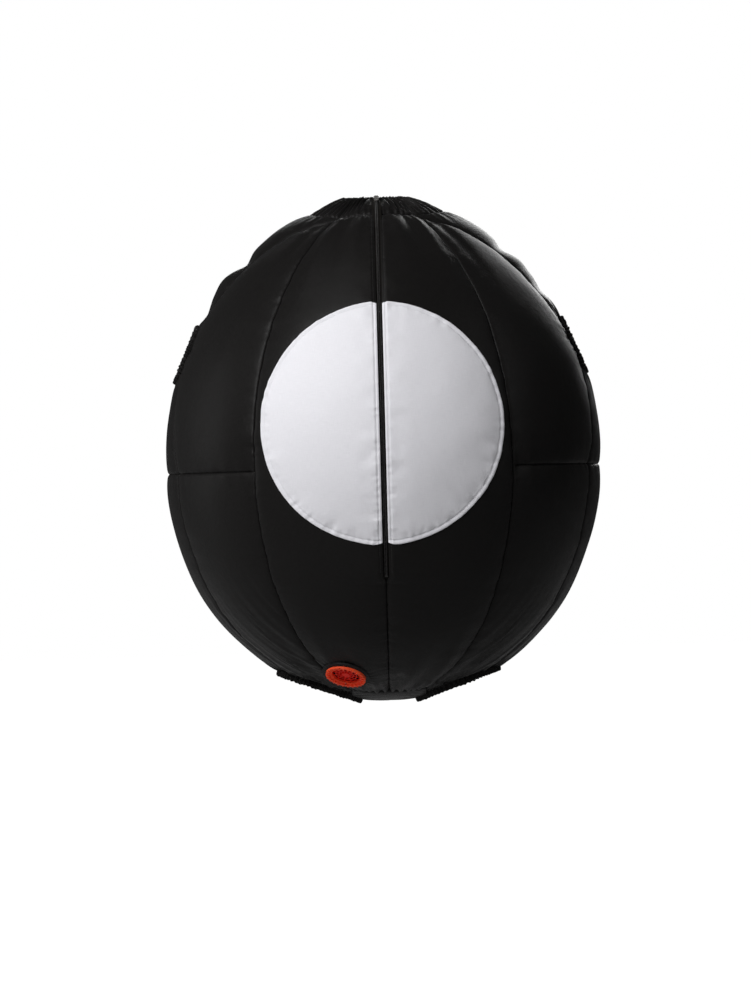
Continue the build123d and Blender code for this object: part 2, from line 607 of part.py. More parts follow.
def make_fan_inside():
    motor_low = MOTOR_TOP - MOTOR_LENGTH
    motor = rod(MOTOR_R, motor_low, MOTOR_TOP)
    motor -= rod(SHAFT_R + SHAFT_CLEAR, MOTOR_TOP - SHAFT_IN_MOTOR, MOTOR_TOP)
    save(FAN_PLACE * motor, "fan_motor")

    mount_high = -DUCT_DEPTH + GUARD_T + MOUNT_T + MOTOR_LENGTH / 3
    mount = tube(MOTOR_R, MOTOR_R + MOUNT_T, motor_low, mount_high)
    mount += spokes(MOUNT_ARMS, MOTOR_R + MOUNT_T / 2, DUCT_R, MOUNT_ARM_W, motor_low, motor_low + MOUNT_T)
    save(FAN_PLACE * (mount & rod(DUCT_R, -DUCT_DEPTH, 0.0)), "fan_motor_mount")

    guard = tube(DUCT_R - 2 * GRILLE_BAR, DUCT_R, -DUCT_DEPTH, -DUCT_DEPTH + GUARD_T)
    for radius in GRILLE_RING_RADII:
        guard += tube(radius, radius + GRILLE_BAR, -DUCT_DEPTH, -DUCT_DEPTH + GUARD_T)
    guard_high = -DUCT_DEPTH + GUARD_T
    guard += spokes(GRILLE_SPOKES // 2, 0.0, DUCT_R - GRILLE_BAR, GRILLE_BAR, -DUCT_DEPTH, guard_high)
    save(FAN_PLACE * guard, "fan_inner_guard")

    shaft = rod(SHAFT_R, MOTOR_TOP - SHAFT_IN_MOTOR, IMPELLER_TOP)
    save(FAN_PLACE * shaft, "fan_shaft")
    hub_low = IMPELLER_TOP - IMPELLER_HUB_H
    impeller = rod(IMPELLER_HUB_R, hub_low, IMPELLER_TOP)
    tip_r = DUCT_R - IMPELLER_TIP_GAP
    half_chord, half_t = BLADE_CHORD / 2, BLADE_T / 2
    blade = block(IMPELLER_HUB_R - OVERRUN, tip_r + 2 * OVERRUN, -half_chord, half_chord, -half_t, half_t)
    blade = Pos(0, 0, (hub_low + IMPELLER_TOP) / 2) * Rot(BLADE_PITCH_DEG, 0, 0) * blade
    for index in range(BLADES):
        impeller += Rot(0, 0, index * 360 / BLADES) * blade
    impeller &= rod(tip_r, 2 * hub_low, 0.0)
    save(FAN_PLACE * (impeller - rod(SHAFT_R, 2 * hub_low, 0.0)), "fan_impeller")

    gland = rod(GLAND_R, DUCT_R, DUCT_OUT_R) + rod(GLAND_FLANGE_R, DUCT_OUT_R, DUCT_OUT_R + GLAND_FLANGE_T)
    gland -= rod(DUCT_OUT_R, -GLAND_FLANGE_R * 2, 0.0)
    gland = Pos(0, 0, FAN_GLAND_W) * Rot(0, 90, 0) * (gland - rod(GLAND_BORE_R, 0.0, 2 * DUCT_R))
    wall = tube(DUCT_R, DUCT_OUT_R, -DUCT_DEPTH, 0.0)
    outside = rod(DUCT_OUT_R, -DUCT_DEPTH, 0.0)
    core = (gland & wall) & Pos(0, 0, FAN_GLAND_W) * Rot(0, 90, 0) * rod(GLAND_R, 0.0, 2 * DUCT_R)
    save(FAN_PLACE * (core + (gland - outside)), "fan_gland")


# ---- battery pack -------------------------------------------------------------------------------

CELL_PITCH = 2 * CELL_R + CELL_GAP
GROOVE_ROOM = COVER_T + 2 * COVER_CLEAR
CELL_X = COVER_LIP + GROOVE_ROOM + 2 * COVER_CLEAR + CELL_R
BOX_DEPTH = CELL_X + CELL_R + COVER_CLEAR + BOX_WALL
BOX_INNER_HALF = CELLS * CELL_PITCH / 2 + COVER_CLEAR
BOX_HALF = BOX_INNER_HALF + BOX_SIDE
CELL_ROOM = CONTACT_T + CELL_LENGTH + CELL_NUB_H + SPRING_ROOM
BOX_HEIGHT = BOX_WALL + CELL_ROOM + DIVIDER_T + SWITCH_ROOM + BOX_WALL
DIVIDER_Z = BOX_WALL + CELL_ROOM
POCKET_INNER_HALF = BOX_HALF + POCKET_CLEAR
POCKET_HALF = POCKET_INNER_HALF + POCKET_SIDE
POCKET_ROOM = BOX_DEPTH + 2 * POCKET_CLEAR
FLOOR_LINING_R = math.sqrt((ARC_R - WALL)**2 - POCKET_FLOOR_DROP**2) - ARC_SHIFT
POCKET_LINING_X = math.sqrt(FLOOR_LINING_R**2 - POCKET_HALF**2)
POCKET_INBOARD_X = POCKET_LINING_X - POCKET_BACK - POCKET_ROOM - POCKET_T
BOX_CORNER = Pos(POCKET_INBOARD_X + POCKET_T + POCKET_CLEAR, 0, LEVEL - POCKET_FLOOR_DROP + POCKET_T)
SWITCH_X = (COVER_LIP + GROOVE_ROOM + BOX_DEPTH) / 2
FAR = 500.0


def make_pocket():
    """Fabric pocket sewn inside the left side panel, open at the top."""
    high = LEVEL - POCKET_FLOOR_DROP + POCKET_T + BOX_HEIGHT - POCKET_HEM
    low = LEVEL - POCKET_FLOOR_DROP
    outer = block(POCKET_INBOARD_X, BELLY_R, -POCKET_HALF, POCKET_HALF, low, high)
    top, bottom = (arc_point(elevation, -WALL) for elevation in (POCKET_LINING_TOP_DEG, ZIP_END_DEG))
    top_inner, bottom_inner = Vector(NEAR_AXIS, 0, top.Z), Vector(NEAR_AXIS, 0, bottom.Z)
    edges = [
        curve(arc_point, POCKET_LINING_TOP_DEG, ZIP_END_DEG, -WALL),
        Line(bottom, bottom_inner),
        Line(bottom_inner, top_inner),
        Line(top_inner, top),
    ]
    lining = turned(Face(Wire(edges)), -GORE_DEG / 2, GORE_DEG)
    inner_x = POCKET_INBOARD_X + POCKET_T
    cavity = block(inner_x, inner_x + POCKET_ROOM, -POCKET_INNER_HALF, POCKET_INNER_HALF, low + POCKET_T,
                   0.0)
    save((outer & lining) - cavity, "battery_pocket")


def make_battery_box():
    tray = block(0, BOX_DEPTH, -BOX_HALF, BOX_HALF, 0, BOX_HEIGHT)
    tray -= block(-OVERRUN, CELL_X + CELL_R + COVER_CLEAR, -BOX_INNER_HALF, BOX_INNER_HALF, BOX_WALL, DIVIDER_Z)
    switch_room = block(COVER_LIP + GROOVE_ROOM + SWITCH_ROOM_WALL, BOX_DEPTH - BOX_WALL, -BOX_INNER_HALF,
                        BOX_INNER_HALF, DIVIDER_Z + DIVIDER_T, BOX_HEIGHT - BOX_WALL)
    tray -= switch_room
    groove_half = BOX_INNER_HALF + GROOVE_DEPTH
    tray -= block(COVER_LIP, COVER_LIP + GROOVE_ROOM, -groove_half, groove_half, BOX_WALL, FAR)
    tray -= block(-OVERRUN, COVER_LIP + GROOVE_ROOM, -BOX_INNER_HALF, BOX_INNER_HALF, BOX_WALL, FAR)
    mid_x = SWITCH_X
    slot_half = KNOB_Y / 2 + SWITCH_TRAVEL / 2 + COVER_CLEAR
    knob_half = KNOB_X / 2 + COVER_CLEAR
    top = BOX_HEIGHT
    tray -= block(mid_x - knob_half, mid_x + knob_half, SWITCH_Y - slot_half, SWITCH_Y + slot_half,
                  top - BOX_WALL - OVERRUN, top + OVERRUN)
    tray -= Pos(mid_x, BOX_GLAND_Y, 0) * rod(GLAND_R, top - BOX_WALL - OVERRUN, top + OVERRUN)
    save(BOX_CORNER * tray, "battery_box")

    cover_half = groove_half - COVER_CLEAR
    cover = block(COVER_LIP + COVER_CLEAR, COVER_LIP + COVER_CLEAR + COVER_T, -cover_half, cover_half,
                  BOX_WALL, BOX_HEIGHT)
    for row in range(COVER_RIBS):
        rib_z = BOX_HEIGHT - COVER_RIB_SET - COVER_RIB_PITCH * row
        rib_top = rib_z + COVER_RIB_H
        cover += block(0, COVER_LIP + COVER_CLEAR, -COVER_RIB_HALF, COVER_RIB_HALF, rib_z, rib_top)
    save(BOX_CORNER * cover, "battery_cover")


def make_switch():
    top = BOX_HEIGHT
    room_top = top - BOX_WALL
    half_x, half_y = SWITCH_BODY[0] / 2, SWITCH_BODY[1] / 2
    body = block(SWITCH_X - half_x, SWITCH_X + half_x, SWITCH_Y - half_y, SWITCH_Y + half_y,
                 DIVIDER_Z + DIVIDER_T, room_top - KNOB_SEAT)
    save(BOX_CORNER * body, "switch_body")
    off_y = SWITCH_Y - SWITCH_TRAVEL / 2
    knob = block(SWITCH_X - KNOB_X / 2, SWITCH_X + KNOB_X / 2, off_y - KNOB_Y / 2, off_y + KNOB_Y / 2,
                 room_top - KNOB_SEAT, top + KNOB_H)
    save(BOX_CORNER * knob, "switch_knob")
    gland = rod(GLAND_R, top - BOX_WALL, top) + rod(GLAND_FLANGE_R, top, top + GLAND_FLANGE_T)
    save(BOX_CORNER * Pos(SWITCH_X, BOX_GLAND_Y, 0) * (gland - rod(GLAND_BORE_R, 0, FAR)), "battery_gland")


def make_cells():
    cells, plates, springs = [], [], []
    low = BOX_WALL + CONTACT_T
    high = low + CELL_LENGTH + CELL_NUB_H
    for index in range(CELLS):
        y = (index - (CELLS - 1) / 2) * CELL_PITCH
        cell = rod(CELL_R, 0, CELL_LENGTH) + rod(CELL_NUB_R, CELL_LENGTH, CELL_LENGTH + CELL_NUB_H)
        upright = index % 2 == 0
        stand = Pos(CELL_X, y, low) if upright else Pos(CELL_X, y, high) * Rot(180, 0, 0)
        cells.append(stand * cell)
        plates.append(block(CELL_X - CONTACT_HALF, CELL_X + CONTACT_HALF, y - CONTACT_HALF, y + CONTACT_HALF,
                            BOX_WALL, low))
        leaf = [(y - CONTACT_HALF, DIVIDER_Z), (y, high), (y + CONTACT_HALF, DIVIDER_Z)]
        inside = [(y + CONTACT_HALF - CONTACT_T, DIVIDER_Z), (y, high + 1.5 * CONTACT_T),
                  (y - CONTACT_HALF + CONTACT_T, DIVIDER_Z)]
        outline = [Vector(CELL_X - CONTACT_HALF, a, b) for a, b in leaf + inside]
        springs.append(extrude(Face(Wire.make_polygon(outline)), amount=2 * CONTACT_HALF, dir=(1, 0, 0)))
    save(BOX_CORNER * Compound(children=cells), "aa_cells")
    save(BOX_CORNER * Compound(children=plates + springs), "battery_contacts")


# ---- build --------------------------------------------------------------------------------------

make_panels()
make_gusset()
make_discs()
make_collar()
make_cuff("arm", ARM_PLACE, ARM_R, ARM_CUFF_IN, ARM_CUFF_OUT)
make_cuff("leg", LEG_PLACE, LEG_R, LEG_CUFF_IN, LEG_CUFF_OUT)
make_zip()
make_slider()
make_fan_shell()
make_fan_inside()
make_pocket()
make_battery_box()
make_switch()
make_cells()

for title, place in (("arm", ARM_PLACE), ("leg", LEG_PLACE), ("fan", FAN_PLACE)):
    spot = place.position
    print(title, "opening at", [round(v, 3) for v in (spot.X, spot.Y, spot.Z)])
print("belly level", round(LEVEL, 3), "lowest point", round(BOWL_Z - BOWL_R, 3))
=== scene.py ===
# %% [markdown]
# # An inflatable pool-ball costume
# The real thing is a big ball of thin black satin cloth, sewn from panels and blown up from inside by a
# small fan. It zips up the back, where the zip runs through a white disc. This lesson dresses the packed
# frame with cloth, thread, zip teeth and moulded plastic. Everything is in metres, and +Z is up.

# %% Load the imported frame
import itertools
import json
import math

import bpy
import numpy as np
from mathutils import Matrix, Vector


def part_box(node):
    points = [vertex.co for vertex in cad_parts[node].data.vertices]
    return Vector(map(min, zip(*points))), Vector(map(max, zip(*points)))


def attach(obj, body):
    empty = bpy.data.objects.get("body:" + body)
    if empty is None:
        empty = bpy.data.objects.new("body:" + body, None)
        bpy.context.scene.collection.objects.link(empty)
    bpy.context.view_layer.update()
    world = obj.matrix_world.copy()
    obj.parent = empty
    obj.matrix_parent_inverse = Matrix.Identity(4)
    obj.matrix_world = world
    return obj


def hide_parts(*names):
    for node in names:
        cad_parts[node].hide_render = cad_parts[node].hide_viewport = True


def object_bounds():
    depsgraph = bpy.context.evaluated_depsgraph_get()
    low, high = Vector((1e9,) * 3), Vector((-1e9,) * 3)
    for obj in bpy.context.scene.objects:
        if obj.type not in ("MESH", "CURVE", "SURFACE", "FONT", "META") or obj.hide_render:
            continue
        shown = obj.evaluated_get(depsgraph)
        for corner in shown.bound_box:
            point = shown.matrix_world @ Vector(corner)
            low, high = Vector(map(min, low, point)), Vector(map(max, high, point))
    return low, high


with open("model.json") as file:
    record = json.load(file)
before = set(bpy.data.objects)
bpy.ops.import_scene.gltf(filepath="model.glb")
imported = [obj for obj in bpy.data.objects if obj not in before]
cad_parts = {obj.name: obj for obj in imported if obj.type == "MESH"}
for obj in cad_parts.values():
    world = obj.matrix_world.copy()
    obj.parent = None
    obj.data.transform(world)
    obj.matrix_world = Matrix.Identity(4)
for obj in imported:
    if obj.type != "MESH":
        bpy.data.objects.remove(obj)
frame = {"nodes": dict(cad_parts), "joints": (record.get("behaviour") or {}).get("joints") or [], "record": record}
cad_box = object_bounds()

# %% [markdown]
# ## The outline of the ball
# A gored ball is a surface of revolution, so one curve describes it. Here it is an arc from the neck down
# past the belly, and a rounder bowl under it. Both are given by the elevation of the outward normal, which
# makes the normal itself easy. The sizes are read from the frame, so the cloth always fits the frame.

# %% Read the outline from the frame
JOINTS = {joint["name"]: joint for joint in frame["joints"]}
MOUNTS = {mount["name"]: mount for mount in frame["record"]["mounts"]}
SHIFT = -JOINTS["zip_run"]["pos_m"][1]
LEVEL = JOINTS["zip_run"]["pos_m"][2]
BELLY_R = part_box("side_upper_left")[1].x
ARC_R = BELLY_R + SHIFT
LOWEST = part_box("crotch_gusset")[0].z
BLEND = math.pi / 2 - 2 * math.atan((LOWEST - LEVEL + ARC_R) / SHIFT)
BOWL_R = ARC_R - SHIFT / math.cos(BLEND)
BOWL_Z = LEVEL - SHIFT * math.tan(BLEND)
NECK_R = MOUNTS["neck_opening"]["dims"]["r_mm"] / 1000
COLLAR_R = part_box("collar")[1].x
CASING = 0.007
GORE = math.radians(36.0)
BACK = math.radians(90.0)
SIDES = ((1, "left"), (-1, "right"))
print("belly radius", round(BELLY_R, 4), "bowl radius", round(BOWL_R, 4), "bowl centre", round(BOWL_Z, 4))


def outline(elevation):
    """Radius and height of the cloth where its outward normal has this elevation."""
    upper = elevation >= -BLEND
    radius = np.where(upper, ARC_R * np.cos(elevation) - SHIFT, BOWL_R * np.cos(elevation))
    height = np.where(upper, LEVEL + ARC_R * np.sin(elevation), BOWL_Z + BOWL_R * np.sin(elevation))
    return radius, height


def elevation_at(radius):
    """Elevation on the upper arc at a distance from the ball's axis."""
    return math.acos((radius + SHIFT) / ARC_R)


TOP_EL = elevation_at(NECK_R)
COLLAR_EL = elevation_at(COLLAR_R)
SEAM_EL = math.asin((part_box("side_lower_left")[1].z - LEVEL) / ARC_R)
ZIP_END_EL = math.asin((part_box("zip_tape_left")[0].z - LEVEL) / ARC_R)


def run_down(elevation):
    """Length along the cloth from the neck down to this elevation."""
    upper = ARC_R * (TOP_EL - np.maximum(elevation, -BLEND))
    return upper + BOWL_R * np.maximum(-BLEND - elevation, 0.0)


def elevation_after(length):
    """Elevation after this length along the cloth from the neck."""
    upper_run = ARC_R * (TOP_EL + BLEND)
    return np.where(length < upper_run, TOP_EL - length / ARC_R, -BLEND - (length - upper_run) / BOWL_R)


print("cloth from neck to crotch:", round(float(run_down(-math.pi / 2)), 3), "m")

# %% [markdown]
# ## Random but repeatable
# Cloth never creases evenly. A hash of the lattice corners gives smooth noise that is the same on each run,
# and works on whole arrays at once.

# %% Smooth noise
def soft_noise(points, seed):
    """Smooth random values from -1 to 1, changing over a distance of about one."""
    low = np.floor(points).astype(np.int64)
    part = points - low
    part = part * part * (3 - 2 * part)
    total = np.zeros(points.shape[:-1])
    for corner in itertools.product((0, 1), repeat=3):
        key = (low + np.array(corner)) @ np.array([374761393, 668265263, 2147483647]) + seed * 1442695041
        key = (key ^ (key >> 15)) * 2246822519 & 0xFFFFFFFF
        key = (key ^ (key >> 13)) * 3266489917 & 0xFFFFFFFF
        value = ((key ^ (key >> 16)) & 0xFFFFFF) / 0x7FFFFF - 1.0
        total += value * np.prod(np.where(corner, part, 1 - part), axis=-1)
    return total


def blend_step(value, start, end):
    """0 before start, 1 after end, smooth in between."""
    share = np.clip((value - start) / (end - start), 0.0, 1.0)
    return share * share * (3 - 2 * share)


def bell(value, middle, width):
    return np.exp(-((value - middle) / width) ** 2)


def stacked(*parts):
    """Arrays or plain numbers side by side, as the coordinates of points."""
    return np.stack(np.broadcast_arrays(*parts), axis=-1)


def ring_noise(turn, wide, seed_place):
    """Noise coordinates that close up round a ring."""
    return stacked(np.cos(turn) * wide, np.sin(turn) * wide, seed_place)


print("noise at the origin:", round(float(soft_noise(np.zeros((1, 3)), 1)[0]), 3))

# %% [markdown]
# ## Openings, seams and the zip
# The cloth is held at the arm and leg cuffs, round the fan and along its seams. Each helper gives the
# distance from a point of the ball to one of those, because folds and puckers fade with that distance.

# %% Distances on the ball
def ball_point(elevation, azimuth):
    """Point of the smooth ball, before any fold."""
    radius, height = outline(elevation)
    return stacked(radius * np.cos(azimuth), radius * np.sin(azimuth), height)


def ball_normal(elevation, azimuth):
    flat = np.cos(elevation)
    return stacked(flat * np.cos(azimuth), flat * np.sin(azimuth), np.sin(elevation))


def place_of(mount_name):
    """Centre on the axis, and axis direction, of an opening on the wearer's left."""
    mount = MOUNTS[mount_name]
    return np.array(mount["pos_m"]), np.array(mount["axis"])


ARM_AT, ARM_AXIS = place_of("left_arm_opening")
LEG_AT, LEG_AXIS = place_of("left_leg_opening")
FAN_AT, FAN_AXIS = (np.array(JOINTS["fan_spin"][key]) for key in ("pos_m", "axis"))
ARM_HOLE = MOUNTS["left_arm_opening"]["dims"]["r_mm"] / 1000 + CASING
LEG_HOLE = MOUNTS["left_leg_opening"]["dims"]["r_mm"] / 1000 + CASING
FAN_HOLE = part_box("fan_housing")[1].x - FAN_AT[0]
PATCH_R = 0.052
ARM_EL = math.atan2(ARM_AXIS[2], ARM_AXIS[0])


def from_axis(points, centre, axis):
    """Distance from an axis, and the angle round it."""
    offset = points - centre
    along = offset @ axis
    across = offset - along[..., None] * axis
    first = np.cross([0.0, 1.0, 0.0], axis)
    first = first / np.linalg.norm(first)
    second = np.cross(axis, first)
    return np.linalg.norm(across, axis=-1), np.arctan2(across @ second, across @ first)


def folded(points):
    """The same points brought to the wearer's left side."""
    return points * np.sign(points[..., :1] + 1e-12) ** np.array([1, 0, 0])


SHOULDER_Y_COLLAR, SHOULDER_Y_ARM = 0.120, 0.050
ARM_X, ARM_Z = (float(value) for value in outline(ARM_EL))
SLOPE = (SHOULDER_Y_COLLAR - SHOULDER_Y_ARM) / (ARM_X - SHOULDER_Y_COLLAR)
SHOULDER_REACH = SHOULDER_Y_COLLAR * (1 + SLOPE)
SEAM_X, SEAM_Z = (float(value) for value in outline(SEAM_EL))
SIDE_Y = SEAM_X * math.sin(GORE / 2)


def under_arm_y(height):
    """Half width of the side panel under the arm."""
    share = (height - SEAM_Z) / (ARM_Z + 0.060 - SEAM_Z)
    return SIDE_Y + (SHOULDER_Y_ARM / 2 - SIDE_Y) * share


def side_seam(elevation):
    """Azimuth of the seam that runs from the collar past the arm and down to the crotch, wearer's left rear."""
    radius, height = outline(elevation)
    over = np.arcsin(np.clip(SHOULDER_REACH / (radius * math.hypot(1, SLOPE)), -1, 1)) - math.atan(SLOPE)
    under = np.arcsin(np.clip(under_arm_y(height) / radius, -1, 1))
    upper = np.where(elevation > ARM_EL, over, under)
    return np.where(elevation > SEAM_EL, upper, GORE / 2)


def side_gap(points, elevation, azimuth_from_x, radius):
    """Signed distance from that seam; positive towards the back or front."""
    x, y, z = (np.abs(points[..., 0]), np.abs(points[..., 1]), points[..., 2])
    over = (y + SLOPE * x - SHOULDER_REACH) / math.hypot(1, SLOPE)
    under = (y - under_arm_y(z)) * 0.94
    low = radius * (azimuth_from_x - GORE / 2)
    upper = over + (under - over) * (1 - blend_step(elevation, ARM_EL - 0.06, ARM_EL + 0.06))
    return low + (upper - low) * blend_step(elevation, SEAM_EL - 0.01, SEAM_EL + 0.01)


print("arm hole", round(ARM_HOLE, 4), "leg hole", round(LEG_HOLE, 4), "fan hole", round(FAN_HOLE, 4))

# %% [markdown]
# ## One height field for the whole ball
# Neighbouring panels have to meet exactly at their seams. So there is one function for how far the cloth
# stands off the smooth ball, and each panel is cut out of it. Air pressure rounds each panel between its
# seams, and sewing thread shortens the seams, which draws in a crease with small puckers beside it.

# %% Creases and puckers along a seam
SEAM_TUCK = ((0.0030, 0.0028), (0.0030, 0.020), (0.0035, 0.07))  # depth, and the distance over which it fades
SEAM_PUCKERS = ((0.0011, 0.0075, 0.011, 0), (0.0015, 0.024, 0.038, 50))  # height, length, fading distance, seed


def seam_crease(gap, along, seed):
    """Height beside a sewn seam, from the signed distance to it and the length along it."""
    near = np.abs(gap)
    total = -sum(depth * np.exp(-near / fade) for depth, fade in SEAM_TUCK)
    for height, length, fade, seed_step in SEAM_PUCKERS:
        place = stacked(along / length, gap * 0.2 / length, seed * 3.7)
        total = total + height * soft_noise(place, seed + seed_step) * np.exp(-near / fade)
    return total


ZIP_EDGE = 0.0062


def zip_edge(elevation):
    """Distance of the cloth's folded edge from the middle of the zip; it closes below the zip's end."""
    return ZIP_EDGE * blend_step(elevation, ZIP_END_EL - 0.004, ZIP_END_EL + 0.022)


print("zip ends at", round(math.degrees(ZIP_END_EL), 1), "degrees below the belly line")

# %% Folds that gather at the collar and over the shoulders
COLLAR_FOLDS = 58
ZIP_HALF_TAPE = 0.010
BACK_FOLDS = [  # azimuth from the back in degrees, half width in metres, height, where it starts and ends
    (-7, 0.010, -0.0035, 0.150, 0.235), (11, 0.012, 0.0030, 0.150, 0.30), (19, 0.011, -0.0030, 0.150, 0.36),
    (28, 0.013, 0.0035, 0.150, 0.40), (-13, 0.012, 0.0028, 0.150, 0.31), (-21, 0.012, -0.0030, 0.150, 0.33),
    (-29, 0.013, 0.0034, 0.150, 0.42), (44, 0.015, -0.0040, 0.150, 0.40), (-45, 0.015, -0.0042, 0.150, 0.38),
]
SHOULDER_WAVES = {  # distance from the ball's axis, height and half width of each wave of slack cloth
    1: [(0.205, 0.0045, 0.055), (0.287, -0.0115, 0.017), (0.330, 0.0065, 0.018), (0.372, -0.0080, 0.012)],
    -1: [(0.215, 0.0035, 0.050), (0.268, -0.0065, 0.014), (0.302, 0.0050, 0.016), (0.352, -0.0070, 0.014)],
}


def collar_folds(points, radius, azimuth):
    """Short upright folds under the elastic, which die out below the collar seam and beside the zip."""
    turn = ring_noise(azimuth, 3.1, radius * 9)
    phase = COLLAR_FOLDS * azimuth + 4.5 * soft_noise(turn, 11)
    depth = 0.0030 * (1 - blend_step(radius, 0.085, 0.150)) + 0.0010 * (1 - blend_step(radius, 0.15, 0.21))
    wander = 1 + 0.6 * soft_noise(turn * 1.7, 12)
    off_zip = blend_step(np.abs(points[..., 0]), ZIP_HALF_TAPE, 3 * ZIP_HALF_TAPE)
    has_zip = (points[..., 1] > 0) & (points[..., 2] > LEVEL)
    return depth * wander * np.cos(phase) * np.where(has_zip, off_zip, 1)


def shoulder_folds(points, radius, azimuth):
    """Soft folds that run from the collar over the back, and slack waves across the shoulder panels."""
    total = np.zeros_like(radius)
    for degrees, width, height, start, end in BACK_FOLDS:
        for middle in (BACK - math.radians(degrees), -BACK + math.radians(degrees * 0.93 + 4)):
            gap = radius * np.angle(np.exp(1j * (azimuth - middle)))
            fade = blend_step(radius, start - 0.01, start + 0.03) * (1 - blend_step(radius, start + 0.05, end))
            total += height * fade * bell(gap, 0, width * (0.6 + radius * 2))
    side = np.where(points[..., 0] > 0, 1, -1)
    reach = np.abs(points[..., 0])
    seam_y = np.maximum(SHOULDER_REACH - SLOPE * reach, 0.03)
    inside = np.clip(1 - (points[..., 1] / seam_y) ** 2, 0, 1) * (points[..., 2] > ARM_Z)
    slant = reach + 0.12 * points[..., 1]
    for sign, waves in SHOULDER_WAVES.items():
        for at, height, width in waves:
            total += np.where(side == sign, height * bell(slant, at, width) * inside, 0)
    return total + 0.004 * inside * blend_step(reach, 0.13, 0.18) * (1 - blend_step(reach, 0.36, 0.40))


print("collar folds:", COLLAR_FOLDS, "folds over the back:", len(BACK_FOLDS))

# %% Gathers at the cuffs and pleats above the leg openings
CUFF_FOLDS = [  # centre, axis, radius, folds, seed
    (ARM_AT, ARM_AXIS, ARM_HOLE, 34, 21),
    (LEG_AT, LEG_AXIS, LEG_HOLE, 46, 24),
]


def cuff_gathers(points):
    """Folds that run into the arm and leg cuffs, and the tuck beside each casing."""
    near = folded(points)
    total = np.zeros(points.shape[:-1])
    side = np.where(points[..., 0] > 0, 0.0, 20.0)
    for centre, axis, hole, count, seed in CUFF_FOLDS:
        reach, turn = from_axis(near, centre, axis)
        gap = np.maximum(reach - hole, 0)
        round_trip = ring_noise(turn, 2.6, side + gap * 8)
        phase = count * turn + 5.0 * soft_noise(round_trip, seed)
        strength = 1 + 0.7 * soft_noise(round_trip * 1.4, seed + 1)
        total += 0.0026 * strength * np.cos(phase) * np.exp(-gap / 0.022)
        broad = soft_noise(ring_noise(turn, 5, side + gap * 4), seed + 2)
        total += 0.0035 * broad * np.exp(-gap / 0.05) - 0.0045 * np.exp(-gap / 0.012)
    return total


def side_pleats(points, elevation, azimuth_from_x, radius):
    """Fine upright pleats on the lower side panels, where the cloth is drawn in to the leg openings."""
    across = radius * azimuth_from_x
    place = stacked(across / 0.0095, elevation * 1.6, points[..., 0] * 1.2)
    lines = soft_noise(place, 31) + 0.5 * soft_noise(place * np.array([2.1, 1.3, 1.0]), 32)
    where = blend_step(-elevation, 0.30, 0.85) * (1 - blend_step(azimuth_from_x, 0.80, 0.98))
    return 0.0017 * lines * where


def fan_puckers(points):
    reach, turn = from_axis(points, FAN_AT, FAN_AXIS)
    gap = np.abs(reach - PATCH_R)
    return (0.0009 * np.cos(26 * turn + 2 * np.sin(3 * turn)) - 0.0012) * np.exp(-gap / 0.008)


# %% The height of the cloth over the smooth ball
CLOTH_OFF = 0.0045
GORE_SEAMS = (54.0, 126.0, -54.0, -126.0)  # degrees round from the wearer's left
DISC_R = 0.257
DISC_TILT = math.radians(10.5)
UNDER_DISC = 0.0018


def disc_frame(side):
    """Centre, outward, rightward and upward directions of the back (1) or front (-1) disc."""
    outward = np.array([0.0, side * math.cos(DISC_TILT), math.sin(DISC_TILT)])
    right = np.array([-side, 0.0, 0.0])
    return np.array([0.0, 0.0, LEVEL]) + outward * BELLY_R, outward, right, np.cross(outward, right)


def disc_gap(points, side):
    """Distance inside the edge of the back or front disc."""
    centre, _, right, up = disc_frame(side)
    offset = points - centre
    gap = DISC_R - np.hypot(offset @ right, offset @ up)
    return np.where(side * points[..., 1] > 0, gap, -1.0)


def zip_swell(points, elevation):
    """The cloth lies flat beside the zip's tape and swells up a little next to it."""
    gap = np.abs(points[..., 0]) - zip_edge(elevation)
    on_back = blend_step(points[..., 1], 0.0, 0.03)
    along = run_down(elevation)
    place = stacked(along / 0.0085, points[..., 0] / 0.05, 0.0)
    pucker = 0.0007 * soft_noise(place, 41) * bell(gap, 0.005, 0.006)
    wide = 0.0012 * soft_noise(place * np.array([0.3, 1.0, 1.0]), 42) * bell(gap, 0.018, 0.02)
    rise = 0.0026 * blend_step(gap, 0.0, 0.010) * bell(gap, 0.010, 0.055)
    topstitch = -0.0007 * bell(gap, 0.0060, 0.0012)
    return on_back * (rise + pucker + wide + topstitch)


